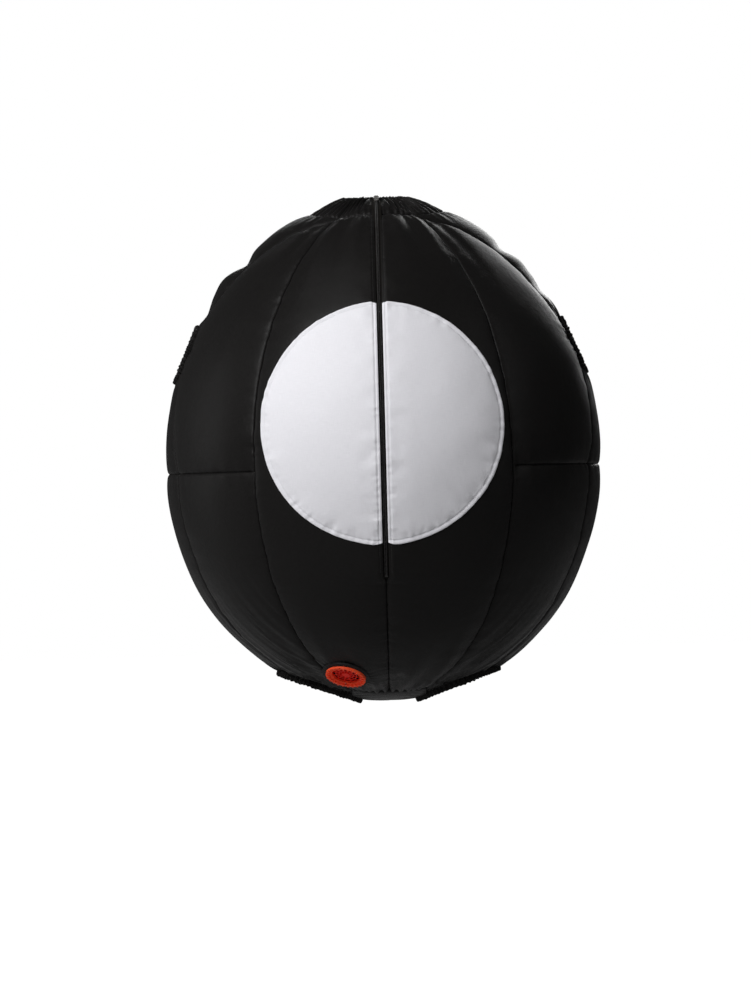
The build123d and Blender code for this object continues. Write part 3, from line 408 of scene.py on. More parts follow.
def cloth_height(elevation, azimuth):
    """How far the black cloth stands off the smooth ball."""
    radius = outline(elevation)[0]
    points = ball_point(elevation, azimuth)
    along = run_down(elevation)
    from_x = np.arctan2(np.abs(points[..., 1]), np.abs(points[..., 0]))
    total = CLOTH_OFF + 0.0020 * soft_noise(points / 0.16, 1) + 0.0010 * soft_noise(points / 0.07, 2)
    for index, middle in enumerate(GORE_SEAMS):
        gap = radius * np.angle(np.exp(1j * (azimuth - math.radians(middle))))
        total += seam_crease(gap, along, 60 + index)
    quarter = (points[..., 0] > 0) * 1 + (points[..., 1] > 0) * 2
    gap = side_gap(points, elevation, from_x, radius)
    for index in range(4):
        total += np.where(quarter == index, seam_crease(gap, along, 70 + index), 0)
    on_side = 1 - blend_step(radius * (from_x - 1.5 * GORE), -0.012, 0.0)
    total += on_side * seam_crease(along - run_down(SEAM_EL), radius * azimuth, 80)
    below_zip = 1 - blend_step(elevation, ZIP_END_EL - 0.02, ZIP_END_EL + 0.02)
    total += np.where(points[..., 1] > 0, below_zip * seam_crease(points[..., 0], along, 81), 0)
    total += (1 - below_zip) * zip_swell(points, elevation)
    collar = seam_crease(along - run_down(COLLAR_EL), radius * azimuth * 0.8, 83)
    total += 0.55 * collar * (1 - blend_step(radius, 0.17, 0.23))
    total += collar_folds(points, radius, azimuth) + shoulder_folds(points, radius, azimuth)
    total += cuff_gathers(points) + side_pleats(points, elevation, from_x, radius) + fan_puckers(points)
    for side in (1, -1):
        inside = disc_gap(points, side)
        ring = np.arctan2(points[..., 0], (points[..., 2] - LEVEL))
        place = stacked(ring * DISC_R / 0.011, inside / 0.03, side * 2.0)
        drawn = 1 + 0.8 * soft_noise(place * np.array([0.12, 1, 1]), 45)
        total += (0.0010 * soft_noise(place, 44) * drawn - 0.0006) * bell(inside, 0.006, 0.010)
        total -= UNDER_DISC * blend_step(inside, 0.004, 0.010)
    return total


def cloth(elevation, azimuth, lift=0.0):
    """Point of the finished cloth surface, raised by a further lift."""
    height = cloth_height(elevation, azimuth) + lift
    return ball_point(elevation, azimuth) + ball_normal(elevation, azimuth) * height[..., None]


sample = cloth_height(np.linspace(1.0, -1.4, 400), np.full(400, 1.1))
print("cloth stands off by", round(float(sample.min()) * 1000, 1), "to", round(float(sample.max()) * 1000, 1), "mm")

# %% [markdown]
# ## Cutting the panels
# A panel is a grid whose left and right edges follow two seams. Where it meets an opening it stops there.
# Columns crowd towards the seams, where the puckers are, and each edge gets a turned-in margin, as sewn
# cloth has, so that seams read as real creases with depth.

# %% Mesh helpers
def make_piece(name, points, faces, cloth_uv=None, node=None):
    """A smooth mesh object from arrays of quads; empty quads and unused points are left out."""
    corners = points.reshape(-1, 3)[faces]
    spread = np.linalg.norm(np.cross(corners[:, 2] - corners[:, 0], corners[:, 3] - corners[:, 1]), axis=-1)
    used, place = np.unique(faces[spread > 1e-10], return_inverse=True)
    mesh = bpy.data.meshes.new(name)
    mesh.from_pydata(points.reshape(-1, 3)[used].tolist(), [], place.reshape(-1, 4).tolist())
    if cloth_uv is not None:
        layer = mesh.uv_layers.new(name="cloth")
        corner = np.zeros(len(mesh.loops), np.int32)
        mesh.loops.foreach_get("vertex_index", corner)
        layer.uv.foreach_set("vector", cloth_uv.reshape(-1, 2)[used[corner]].astype(np.float32).ravel())
    mesh.polygons.foreach_set("use_smooth", np.ones(len(mesh.polygons), bool))
    mesh.validate()
    piece = bpy.data.objects.new(name, mesh)
    bpy.context.scene.collection.objects.link(piece)
    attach(piece, "costume")
    if node is not None:
        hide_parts(node)
    return piece


def dress(piece, material):
    piece.data.materials.append(material)


def grid_faces(rows, columns, closed=False, flip=False):
    """Quads of a grid whose rows go down and whose columns go round."""
    index = np.arange(rows * columns).reshape(rows, columns)
    if closed:
        index = np.hstack([index, index[:, :1]])
    quads = np.stack([index[:-1, :-1], index[1:, :-1], index[1:, 1:], index[:-1, 1:]], axis=-1).reshape(-1, 4)
    return quads[:, ::-1] if flip else quads


def crowded(count, share=0.7):
    """Places from 0 to 1 that crowd towards both ends."""
    even = np.linspace(-1, 1, count)
    return ((1 - share) * even + share * np.sin(even * math.pi / 2) + 1) / 2


def grid_size(points):
    """Longest row, longest column and area of a grid, in metres, as its flat cut."""
    across = np.linalg.norm(np.diff(points, axis=1), axis=-1).sum(1).max()
    down = np.linalg.norm(np.diff(points, axis=0), axis=-1).sum(0).max()
    first = points[1:, 1:] - points[:-1, :-1]
    second = points[1:, :-1] - points[:-1, 1:]
    return across, down, np.linalg.norm(np.cross(first, second), axis=-1).sum() / 2


SEAM_ALLOWANCE = 0.010


def declare_cut(size, ease=1.0):
    width, length, area = size[0] + 2 * SEAM_ALLOWANCE, size[1] + 2 * SEAM_ALLOWANCE, size[2]
    area = min(area + 2 * SEAM_ALLOWANCE * (size[0] + size[1]), width * length)
    width, area = width * ease, area * ease


print("mesh helpers ready")

# %% Cut one panel out of the height field
ROW_STEP = 0.0032
TURN_IN = 0.008
SEAM_HAIR = 0.0003


def turned_in(grids, top=2):
    """The grids with sewn-in margins of two rows or columns at their edges, and how far each point is sunk."""
    grids = [np.pad(grid, ((top, 2), (2, 2)), mode="edge") for grid in grids]
    rows, columns = (np.zeros(count) for count in grids[0].shape)
    for steps in (rows, columns):
        steps[[0, 1, -2, -1]] = (-TURN_IN, -TURN_IN / 3, -TURN_IN / 3, -TURN_IN)
    if top == 0:
        rows[:2] = 0
    return *grids, np.minimum(rows[:, None], columns)


def crotch_gap(points):
    """Signed distance outside the crotch gusset's rectangle; negative inside it."""
    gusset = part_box("crotch_gusset")[1]
    inside = np.maximum(np.abs(points[..., 0]) - gusset.x, np.abs(points[..., 1]) - gusset.y)
    return np.where(points[..., 2] < BOWL_Z, inside, 1.0)


def hole_gap(points):
    """Signed distance outside the nearest arm or leg opening, or the gusset."""
    near = folded(points)
    arm = from_axis(near, ARM_AT, ARM_AXIS)[0] - ARM_HOLE
    leg = from_axis(near, LEG_AT, LEG_AXIS)[0] - LEG_HOLE
    arm = np.where((points[..., 2] > SEAM_Z) & (near[..., 0] > 0.3), arm, 1.0)
    leg = np.where(points[..., 2] < BOWL_Z, leg, 1.0)
    return np.minimum(np.minimum(arm, leg), crotch_gap(points))


def column_ends(low_side, high_side, start, stop, share, side):
    """Elevation at which each column meets an opening, or the stop."""
    scan = np.linspace(start, stop, 900)[:, None]
    azimuth = low_side(scan) + share * (high_side(scan) - low_side(scan))
    azimuth = azimuth if side > 0 else math.pi - azimuth
    gap = hole_gap(ball_point(scan + 0 * azimuth, azimuth))
    inside = gap < 0
    first = np.where(inside.any(0), inside.argmax(0), len(scan) - 1)
    previous = np.maximum(first - 1, 0)
    columns = np.arange(gap.shape[1])
    before, after = gap[previous, columns], gap[first, columns]
    part = np.where(inside.any(0), before / np.maximum(before - after, 1e-9), 1.0)
    return scan[previous, 0] + part * (scan[first, 0] - scan[previous, 0])


def cut_panel(name, low_side, high_side, start, stop, columns, side=1):
    """One panel from start to stop, between two seams given as azimuth for each elevation."""
    share = crowded(columns)[None, :]
    end = column_ends(low_side, high_side, start, stop, share, side)[None, :]
    length = run_down(end) - run_down(start)
    rows = int(abs(length).max() / ROW_STEP) + 2
    elevation = elevation_after(run_down(start) + np.linspace(0, 1, rows)[:, None] * length)
    hair = SEAM_HAIR / outline(elevation)[0]
    low, high = low_side(elevation) + hair, high_side(elevation) - hair
    azimuth = low + share * (high - low)
    azimuth = azimuth if side > 0 else math.pi - azimuth
    elevation, azimuth, lift = turned_in((elevation, azimuth))
    points = cloth(elevation, azimuth, lift)
    flat = ball_point(elevation, azimuth)[2:-2, 2:-2]
    middle = azimuth.shape[1] // 2
    u = outline(elevation)[0] * (azimuth - azimuth[:, middle:middle + 1])
    flip = (side < 0) != (stop > start)
    faces = grid_faces(*elevation.shape, flip=flip)
    return make_piece(f"cloth_{name}", points, faces, stacked(u, run_down(elevation)), name), grid_size(flat)


def steady(azimuth):
    return lambda elevation: np.full_like(elevation, azimuth)


def zip_side(elevation):
    """Azimuth of the cloth's edge beside the zip, wearer's left."""
    return BACK - np.arcsin(np.clip(zip_edge(elevation) / outline(elevation)[0], 0, 1))


def rear_inner(elevation):
    """Rear side panel's inner edge: the side seam, or the arm opening where that bites into the panel."""
    radius, height = outline(elevation)
    rise = (radius - ARM_X) * -ARM_AXIS[2] + (height - ARM_Z) * ARM_AXIS[0]
    bite = np.sqrt(np.clip(ARM_HOLE ** 2 - rise ** 2, 0, None)) / radius
    return np.maximum(side_seam(elevation), np.arcsin(np.clip(bite, 0, 0.9)) * (np.abs(rise) < ARM_HOLE))


def mirrored_side(edge):
    return lambda elevation: -edge(elevation)


BOTTOM_EL = math.radians(-86.0)
PANELS = {  # name: (low edge, high edge, start, stop, columns), for the wearer's left
    "rear_side_upper": (rear_inner, steady(1.5 * GORE), COLLAR_EL, SEAM_EL, 44),
    "front_side_upper": (steady(-1.5 * GORE), mirrored_side(rear_inner), COLLAR_EL, SEAM_EL, 44),
    "shoulder_panel": (mirrored_side(side_seam), side_seam, COLLAR_EL, ARM_EL, 60),
    "side_upper": (mirrored_side(side_seam), side_seam, SEAM_EL, ARM_EL, 44),
    "rear_side_lower": (steady(GORE / 2), steady(1.5 * GORE), SEAM_EL, BOTTOM_EL, 44),
    "side_lower": (steady(-GORE / 2), steady(GORE / 2), SEAM_EL, BOTTOM_EL, 44),
    "front_side_lower": (steady(-1.5 * GORE), steady(-GORE / 2), SEAM_EL, BOTTOM_EL, 44),
    "back_panel": (steady(1.5 * GORE), zip_side, COLLAR_EL, BOTTOM_EL, 60),
}
black_cloth, cuts = {}, {}
for name, (low_side, high_side, start, stop, columns) in PANELS.items():
    for side, word in SIDES:
        piece, size = cut_panel(f"{name}_{word}", low_side, high_side, start, stop, columns, side)
        black_cloth[piece.name], cuts[piece.name] = piece, size
piece, size = cut_panel("front_panel", steady(-BACK - GORE), steady(-BACK + GORE), COLLAR_EL, BOTTOM_EL, 88)
black_cloth[piece.name], cuts[piece.name] = piece, size
print(len(black_cloth), "panels,", sum(len(piece.data.polygons) for piece in black_cloth.values()), "faces")

# %% Open the left back panel for the fan
def open_for_fan(piece):
    """Makes the panel again without the faces over the fan's duct; the patch covers the cut edge."""
    mesh = piece.data
    points = np.zeros(len(mesh.vertices) * 3)
    mesh.vertices.foreach_get("co", points)
    points = points.reshape(-1, 3)
    reach = np.linalg.norm(np.cross(points - FAN_AT, FAN_AXIS), axis=-1)
    corners = np.array([polygon.vertices[:] for polygon in mesh.polygons])
    near = points[:, 2] < BOWL_Z
    kept = corners[~((reach[corners] < FAN_HOLE).any(1) & near[corners].all(1))]
    layer = np.zeros(len(mesh.loops) * 2, np.float32)
    mesh.uv_layers["cloth"].uv.foreach_get("vector", layer)
    loop_vertex = np.zeros(len(mesh.loops), np.int32)
    mesh.loops.foreach_get("vertex_index", loop_vertex)
    uv = np.zeros((len(points), 2), np.float32)
    uv[loop_vertex] = layer.reshape(-1, 2)
    name = piece.name
    bpy.data.objects.remove(piece)
    return make_piece(name, points, kept, uv, "back_panel_left")


black_cloth["cloth_back_panel_left"] = open_for_fan(black_cloth["cloth_back_panel_left"])
print("fan opening cut, radius", round(FAN_HOLE * 1000, 1), "mm")

# %% Collar
def cut_collar():
    """Gathered collar between the neck band and the collar seam, open at the zip."""
    band_el = elevation_at(NECK_R + CASING - 0.001)
    down = np.linspace(run_down(band_el), run_down(COLLAR_EL) - SEAM_HAIR, 34)[:, None]
    elevation = elevation_after(down)
    share = np.linspace(0, 1, 760)[None, :]
    edge = np.arcsin(ZIP_EDGE / outline(elevation)[0])
    azimuth = BACK + edge + share * (2 * math.pi - 2 * edge)
    elevation, azimuth, lift = turned_in((elevation + 0 * azimuth, azimuth), top=0)
    uv = stacked(azimuth * 0.13, run_down(elevation))
    piece = make_piece("cloth_collar", cloth(elevation, azimuth, lift), grid_faces(*elevation.shape), uv, "collar")
    return piece, grid_size(ball_point(elevation, azimuth)[:-2, 2:-2])


collar, collar_size = cut_collar()
GATHER = 1.25
print("collar cut", [round(value, 3) for value in collar_size])

# %% [markdown]
# ## Finishes
# Each finish is a material with its own Principled shader. What several of them share is built once as a
# node group: a woven structure that follows the threads of each cut piece, small crinkles, and the fine
# grain of moulded plastic.

# %% A helper for node groups and materials
def new_group(name, vector, numbers, outputs):
    """An empty shader node group: one vector and some numbers go in, and numbers come out."""
    group = bpy.data.node_groups.new(name, "ShaderNodeTree")
    group.interface.new_socket(vector, in_out="INPUT", socket_type="NodeSocketVector")
    for title, value in numbers.items():
        group.interface.new_socket(title, in_out="INPUT", socket_type="NodeSocketFloat").default_value = value
    for title in outputs:
        group.interface.new_socket(title, in_out="OUTPUT", socket_type="NodeSocketFloat")
    return group, group.nodes.new("NodeGroupInput"), group.nodes.new("NodeGroupOutput")


def add_node(tree, kind, links=(), **settings):
    """A node with its settings and its inputs, each a value or another node's socket."""
    node = tree.nodes.new(kind)
    for key, value in settings.items():
        setattr(node, key, value)
    for key, value in dict(links).items():
        if isinstance(value, bpy.types.NodeSocket):
            tree.links.new(value, node.inputs[key])
        else:
            node.inputs[key].default_value = value
    return node


def maths(tree, operation, *values):
    return add_node(tree, "ShaderNodeMath", dict(enumerate(values)), operation=operation).outputs[0]


# %% The weave group
def build_weave():
    """Threads over and under each other, with slubs, from cloth coordinates in metres."""
    group, source, result = new_group(
        "woven threads", "Cloth", {"Threads per metre": 2400.0, "Float": 0.35}, ("Height", "Shade"))
    split = add_node(group, "ShaderNodeSeparateXYZ", {0: source.outputs["Cloth"]})
    count = source.outputs["Threads per metre"]
    ridges = []
    for axis in ("X", "Y"):
        turn = maths(group, "MULTIPLY", maths(group, "MULTIPLY", split.outputs[axis], count), math.pi)
        ridges.append(maths(group, "ABSOLUTE", maths(group, "SINE", turn)))
    warp = maths(group, "MULTIPLY", ridges[0], source.outputs["Float"])
    height = maths(group, "MAXIMUM", warp, ridges[1])
    slubs = []
    for stretch in ((60.0, 900.0, 1.0), (900.0, 60.0, 1.0)):
        scaled = add_node(group, "ShaderNodeVectorMath", {0: source.outputs["Cloth"], 1: stretch}, operation="MULTIPLY")
        noise = add_node(group, "ShaderNodeTexNoise", {"Vector": scaled.outputs[0], "Scale": 1.0, "Detail": 2.0})
        slubs.append(noise.outputs["Fac"])
    shade = maths(group, "MULTIPLY", maths(group, "ADD", slubs[0], slubs[1]), 0.5)
    group.links.new(height, result.inputs["Height"])
    group.links.new(shade, result.inputs["Shade"])
    return group


WEAVE = build_weave()


# %% The crinkle group
def build_crinkle():
    """Small soft creases that thin cloth keeps from being packed away."""
    group, source, result = new_group("cloth crinkles", "Place", {"Size": 30.0}, ("Height",))
    coarse = add_node(group, "ShaderNodeTexNoise", {
        "Vector": source.outputs["Place"], "Scale": source.outputs["Size"], "Detail": 3.0, "Roughness": 0.55,
        "Distortion": 0.8})
    ridged = maths(group, "ABSOLUTE", maths(group, "SUBTRACT", coarse.outputs["Fac"], 0.5))
    group.links.new(ridged, result.inputs["Height"])
    return group


CRINKLE = build_crinkle()


# %% The moulding group
def build_moulded():
    """Fine spark texture and faint flow shade of moulded plastic."""
    group, source, result = new_group("moulded surface", "Place", {"Grain": 900.0}, ("Height", "Shade"))
    for title, scale, detail in (("Height", source.outputs["Grain"], 2.0), ("Shade", 45.0, 3.0)):
        noise = add_node(group, "ShaderNodeTexNoise", {
            "Vector": source.outputs["Place"], "Scale": scale, "Detail": detail})
        group.links.new(noise.outputs["Fac"], result.inputs[title])
    return group


MOULDED = build_moulded()


def start_material(name, roughness, **shader_values):
    """A material with its Principled shader, its uniform values set on the shader itself."""
    material = bpy.data.materials.new(name)
    material.use_nodes = True
    tree = material.node_tree
    shader = tree.nodes["Principled BSDF"]
    shader.inputs["Roughness"].default_value = roughness
    for key, value in shader_values.items():
        shader.inputs[key.replace("_", " ").title().replace("Ior", "IOR")].default_value = value
    return material, tree, shader


def place_group(tree, group, **values):
    node = tree.nodes.new("ShaderNodeGroup")
    node.node_tree = group
    for key, value in values.items():
        title = key.replace("_", " ").capitalize()
        if isinstance(value, bpy.types.NodeSocket):
            tree.links.new(value, node.inputs[title])
        else:
            node.inputs[title].default_value = value
    return node


NOISE_SPREAD = (0.3, 0.7)


def ramp(tree, factor, low, high):
    """Colour between two, over the range that noise really takes."""
    node = add_node(tree, "ShaderNodeValToRGB", {"Fac": factor})
    first, last = node.color_ramp.elements
    first.position, last.position = NOISE_SPREAD
    first.color, last.color = (*low, 1), (*high, 1)
    return node.outputs["Color"]


def vary_roughness(tree, shader, shade, roughness, spread):
    """Roughness that follows the noise, by spread up and down."""
    change = add_node(tree, "ShaderNodeMapRange", {
        "Value": shade, "From Min": NOISE_SPREAD[0], "From Max": NOISE_SPREAD[1],
        "To Min": roughness - spread, "To Max": roughness + spread})
    tree.links.new(change.outputs["Result"], shader.inputs["Roughness"])


def add_bump(tree, shader, *layers):
    """One bump over another, each given as height, distance and strength."""
    normal = {}
    for height, distance, strength in layers:
        bump = add_node(tree, "ShaderNodeBump", {
            "Height": height, "Distance": distance, "Strength": strength, **normal})
        normal = {"Normal": bump.outputs["Normal"]}
    tree.links.new(normal["Normal"], shader.inputs["Normal"])


def moulded_grain(tree, grain):
    place = add_node(tree, "ShaderNodeTexCoord").outputs["Object"]
    return place_group(tree, MOULDED, place=place, grain=grain).outputs


# %% Woven cloth materials
def woven_material(name, dark, light, roughness, threads, weave_depth, crinkle_depth, **shader_values):
    """Cloth with threads, slubs and crinkles."""
    material, tree, shader = start_material(name, roughness, **shader_values)
    cloth_uv = add_node(tree, "ShaderNodeUVMap", uv_map="cloth").outputs["UV"]
    place = add_node(tree, "ShaderNodeTexCoord").outputs["Object"]
    weave = place_group(tree, WEAVE, cloth=cloth_uv, threads_per_metre=threads)
    crinkle = place_group(tree, CRINKLE, place=place, size=26.0)
    fine = place_group(tree, CRINKLE, place=place, size=90.0)
    tree.links.new(ramp(tree, weave.outputs["Shade"], dark, light), shader.inputs["Base Color"])
    vary_roughness(tree, shader, weave.outputs["Shade"], roughness, 0.08)
    add_bump(tree, shader, (crinkle.outputs["Height"], crinkle_depth, 0.6),
             (fine.outputs["Height"], crinkle_depth * 0.35, 0.6), (weave.outputs["Height"], weave_depth, 0.5))
    return material


BLACK_SATIN = woven_material(
    "black satin polyester", (0.0050, 0.0046, 0.0045), (0.0078, 0.0072, 0.0070), 0.44, 2200.0, 0.00008, 0.0012,
    specular_ior_level=0.10, sheen_weight=0.02, sheen_roughness=0.45)
WHITE_SATIN = woven_material(
    "white satin polyester", (0.66, 0.655, 0.69), (0.72, 0.715, 0.75), 0.55, 2200.0, 0.00008, 0.0010,
    specular_ior_level=0.20, sheen_weight=0.05, sheen_roughness=0.4)
for piece in black_cloth.values():
    dress(piece, BLACK_SATIN)
dress(collar, BLACK_SATIN)
print("cloth finishes ready")

# %% [markdown]
# ## White discs and the figure on the front
# Round patches of white satin are sewn on the back and the front. Each is laid out flat, as it is cut, and
# every flat point is then carried along the disc's own axis onto the ball, so the outline stays a true
# circle. The zip splits the back disc, and its two corners at each end are softly rounded.

# %% Lay a flat patch on the ball
def laid_on_ball(across, rise, side):
    """Elevation and azimuth of the ball under a flat point of the back (1) or front (-1) disc."""
    centre, *_, up = disc_frame(side)
    low, high = np.full_like(across, -0.75), np.full_like(across, 1.15)
    for _ in range(34):
        middle = (low + high) / 2
        radius, height = outline(middle)
        depth = side * np.sqrt(np.maximum(radius ** 2 - across ** 2, 0))
        reached = (depth - centre[1]) * up[1] + (height - centre[2]) * up[2]
        low, high = np.where(reached < rise, middle, low), np.where(reached < rise, high, middle)
    middle = (low + high) / 2
    return middle, side * (BACK - np.arcsin(np.clip(across / outline(middle)[0], -1, 1)))


def disc_height(across, rise, side, seed):
    """Raised hem, topstitch line and puckers of a white disc."""
    turn = np.arctan2(rise, across)
    hem = DISC_R - np.hypot(across, rise)
    place = stacked(turn * DISC_R / 0.0105, hem / 0.03, 0.0)
    strong = 0.45 + 0.55 * np.clip(-np.sin(turn) * 1.3, 0, 1) + 0.25 * soft_noise(place * 0.1, seed)
    pucker = strong * soft_noise(place, seed + 1) * bell(hem, 0.010, 0.010)
    wide = soft_noise(place * np.array([0.4, 0.4, 1]), seed + 2) * bell(hem, 0.022, 0.024) * strong
    total = UNDER_DISC * blend_step(hem, 0.004, 0.010)
    total += 0.0009 * bell(hem, 0.0022, 0.0026) - 0.0008 * bell(hem, 0.0078, 0.0016)
    total += 0.0017 * pucker + 0.0021 * wide
    if side > 0:
        beside = np.abs(across) - ZIP_EDGE
        row = stacked(rise / 0.0075, across / 0.04, 3.0)
        strength = 0.4 + 0.6 * blend_step(-rise, -0.10, 0.16)
        total += 0.0010 * bell(beside, 0.0022, 0.0026) - 0.0007 * bell(beside, 0.0075, 0.0016)
        total += 0.0014 * strength * soft_noise(row, seed + 3) * bell(beside, 0.009, 0.008)
        total += 0.0018 * strength * soft_noise(row * np.array([0.35, 1, 1]), seed + 4) * bell(beside, 0.02, 0.022)
    return total


DISC_LIFT = 0.0016
EDGE_DROP = 0.0030
DISC_SEEDS = {"left": 200, "right": 220, "front": 240}


def raised_patch(word, across, rise, side, flip, node):
    """A disc as a grid over flat coordinates, with an edge that drops to the black cloth."""
    across, rise = np.pad(across, 1, mode="edge"), np.pad(rise, 1, mode="edge")
    height = DISC_LIFT + disc_height(across, rise, side, DISC_SEEDS[word])
    height = np.pad(height[1:-1, 1:-1], 1, constant_values=-EDGE_DROP)
    points = cloth(*laid_on_ball(across, rise, side), height)
    return make_piece(f"white_disc_{word}", points, grid_faces(*across.shape, flip=flip), stacked(across, rise), node)


def half_disc(side, word):
    """Half of the back disc, beside the zip."""
    first_turn = math.pi / 2 - 0.03
    turn = np.linspace(first_turn, -first_turn, 380)[:, None]
    share = crowded(96, 0.8)[None, :]
    inner = ZIP_EDGE + 0.005 * (bell(turn, first_turn, 0.030) + bell(turn, -first_turn, 0.030))
    outer = np.maximum(DISC_R * np.cos(turn), inner + 0.002)
    across = inner + share * (outer - inner)
    rounded = 1 - 0.012 * bell(across, ZIP_EDGE, 0.010) * np.abs(np.sin(turn)) ** 20
    rise = DISC_R * np.sin(turn) * rounded
    return raised_patch(word, across * side, rise, 1, side > 0, f"back_disc_{word}")


def whole_disc():
    """The disc on the front, in one piece."""
    turn = np.linspace(math.pi / 2 - 0.02, -math.pi / 2 + 0.02, 380)[:, None]
    share = crowded(180, 0.8)[None, :] * 2 - 1
    across = share * DISC_R * np.cos(turn)
    return raised_patch("front", across, DISC_R * np.sin(turn) + 0 * across, -1, False, "front_disc")


white_discs = [*(half_disc(side, word) for side, word in SIDES), whole_disc()]
print("white discs:", [piece.name for piece in white_discs])

# %% The figure 8 on the front
LINE = 0.030
UPPER_R, LOWER_R = 0.048 + LINE / 2, 0.060 + LINE / 2
FIGURE_RINGS = ((UPPER_R, UPPER_R), (-LOWER_R, LOWER_R))  # middle and radius


def figure_gap(across, rise):
    """Signed distance to the edge of a plain figure 8 of two rings; negative inside the line."""
    return np.minimum(*(np.abs(np.hypot(across, rise - middle) - radius) - LINE / 2 for middle, radius in FIGURE_RINGS))


def build_figure():
    step = 0.0022
    high, low, wide = 2 * UPPER_R + LINE, -2 * LOWER_R - LINE, LOWER_R + LINE
    across, rise = np.meshgrid(np.arange(-wide, wide, step), np.arange(high, low, -step))
    faces = grid_faces(*across.shape)
    across, rise = across.ravel(), rise.ravel()
    faces = faces[(figure_gap(across, rise)[faces] < step * 0.35).all(1)]
    edges = np.sort(np.concatenate([faces[:, [k, (k + 1) % 4]] for k in range(4)]), axis=1)
    unique, count = np.unique(edges, axis=0, return_counts=True)
    rim = np.unique(unique[count == 1])
    hair = 1e-5
    for _ in range(3):
        gap = figure_gap(across[rim], rise[rim])
        slope_x = (figure_gap(across[rim] + hair, rise[rim]) - gap) / hair
        slope_y = (figure_gap(across[rim], rise[rim] + hair) - gap) / hair
        across[rim] -= gap * slope_x
        rise[rim] -= gap * slope_y
    inside = -figure_gap(across, rise)
    place = stacked(across / 0.010, rise / 0.010, 0.0)
    height = 2 * DISC_LIFT + disc_height(across, rise, -1, DISC_SEEDS["front"]) + 0.0006 * bell(inside, 0.002, 0.002)
    height += 0.0005 * soft_noise(place, 260) * bell(inside, 0.005, 0.006) - 0.0006 * bell(inside, 0.0055, 0.0014)
    height[rim] -= 0.0012
    points = cloth(*laid_on_ball(across, rise, -1), height)
    return make_piece("front_figure", points, faces, stacked(across, rise), "front_numeral")


figure = build_figure()
print("figure 8:", len(figure.data.polygons), "faces")

# %% [markdown]
# ## Stitching
# Topstitching is what shows that a thing is sewn, so each stitch is real geometry: a short thread that
# dips into the cloth at both ends. One helper lays a row of them along any path on the cloth.

# %% A row of stitches
STITCH, STITCH_GAP, THREAD = 0.0030, 0.0011, 0.00034


def tube_faces(tubes, rings, sides):
    """Quads of many short tubes whose points go round each ring in turn."""
    index = np.arange(tubes * rings * sides).reshape(tubes, rings, sides)
    after = np.roll(index, -1, axis=2)
    return np.stack([index[:, :-1], after[:, :-1], after[:, 1:], index[:, 1:]], axis=-1).reshape(-1, 4)


def stitch_row(paths, normals):
    """Points and quads of all stitches along one path of points with their normals."""
    steps = np.linalg.norm(np.diff(paths, axis=0), axis=1)
    along = np.concatenate([[0], np.cumsum(steps)])
    count = int(along[-1] / (STITCH + STITCH_GAP))
    starts = np.arange(count) * (STITCH + STITCH_GAP) + STITCH_GAP / 2
    profile = np.array([0.0, 0.12, 0.5, 0.88, 1.0])
    rise = np.array([-0.6, 0.55, 0.9, 0.55, -0.6]) * THREAD
    girth = np.array([0.35, 0.85, 1.0, 0.85, 0.35]) * THREAD
    places = starts[:, None] + profile * STITCH
    def at(values):
        return np.stack([np.interp(places, along, values[:, k]) for k in range(3)], axis=-1)
    centre, normal = at(paths), at(normals)
    normal /= np.linalg.norm(normal, axis=-1, keepdims=True)
    forward = np.gradient(centre, axis=1)
    forward /= np.linalg.norm(forward, axis=-1, keepdims=True)
    sideways = np.cross(forward, normal)
    turn = np.linspace(0, 2 * math.pi, 6, endpoint=False)
    ring = (np.cos(turn)[:, None, None, None] * sideways + np.sin(turn)[:, None, None, None] * normal * 0.8)
    points = centre + normal * rise[:, None] + ring * girth[:, None]
    return np.moveaxis(points, 0, 2).reshape(-1, 3), tube_faces(count, len(profile), len(turn))


def sew(name, rows, material):
    """One piece of thread from several rows of (points, normals)."""
    points, faces, start = [], [], 0
    for path, normal in rows:
        row_points, row_faces = stitch_row(path, normal)
        points.append(row_points)
        faces.append(row_faces + start)
        start += len(row_points)
    piece = make_piece(name, np.concatenate(points), np.concatenate(faces))
    dress(piece, material)
    return piece


def on_cloth(elevation, azimuth, lift):
    """A path on the finished cloth with its normals."""
    return cloth(elevation, azimuth, lift), ball_normal(elevation, azimuth)


def on_disc(across, rise, side, word, lift=DISC_LIFT):
    return on_cloth(*laid_on_ball(across, rise, side), lift + disc_height(across, rise, side, DISC_SEEDS[word]))


def thread_material(name, colour):
    material, tree, shader = start_material(name, 0.55, specular_ior_level=0.3, sheen_weight=0.1)
    moulded = moulded_grain(tree, 2500.0)
    dull = tuple(0.8 * part for part in colour)
    tree.links.new(ramp(tree, moulded["Shade"], dull, colour), shader.inputs["Base Color"])
    add_bump(tree, shader, (moulded["Height"], 0.0001, 0.5))
    return material


WHITE_THREAD = thread_material("white sewing thread", (0.72, 0.72, 0.74))
BLACK_THREAD = thread_material("black sewing thread", (0.014, 0.013, 0.013))
TOPSTITCH = 0.0078


def disc_ring(side, turn_from, turn_to, word):
    turn = np.linspace(turn_from, turn_to, 900)
    radius = DISC_R - TOPSTITCH
    return on_disc(radius * np.cos(turn), radius * np.sin(turn), side, word)


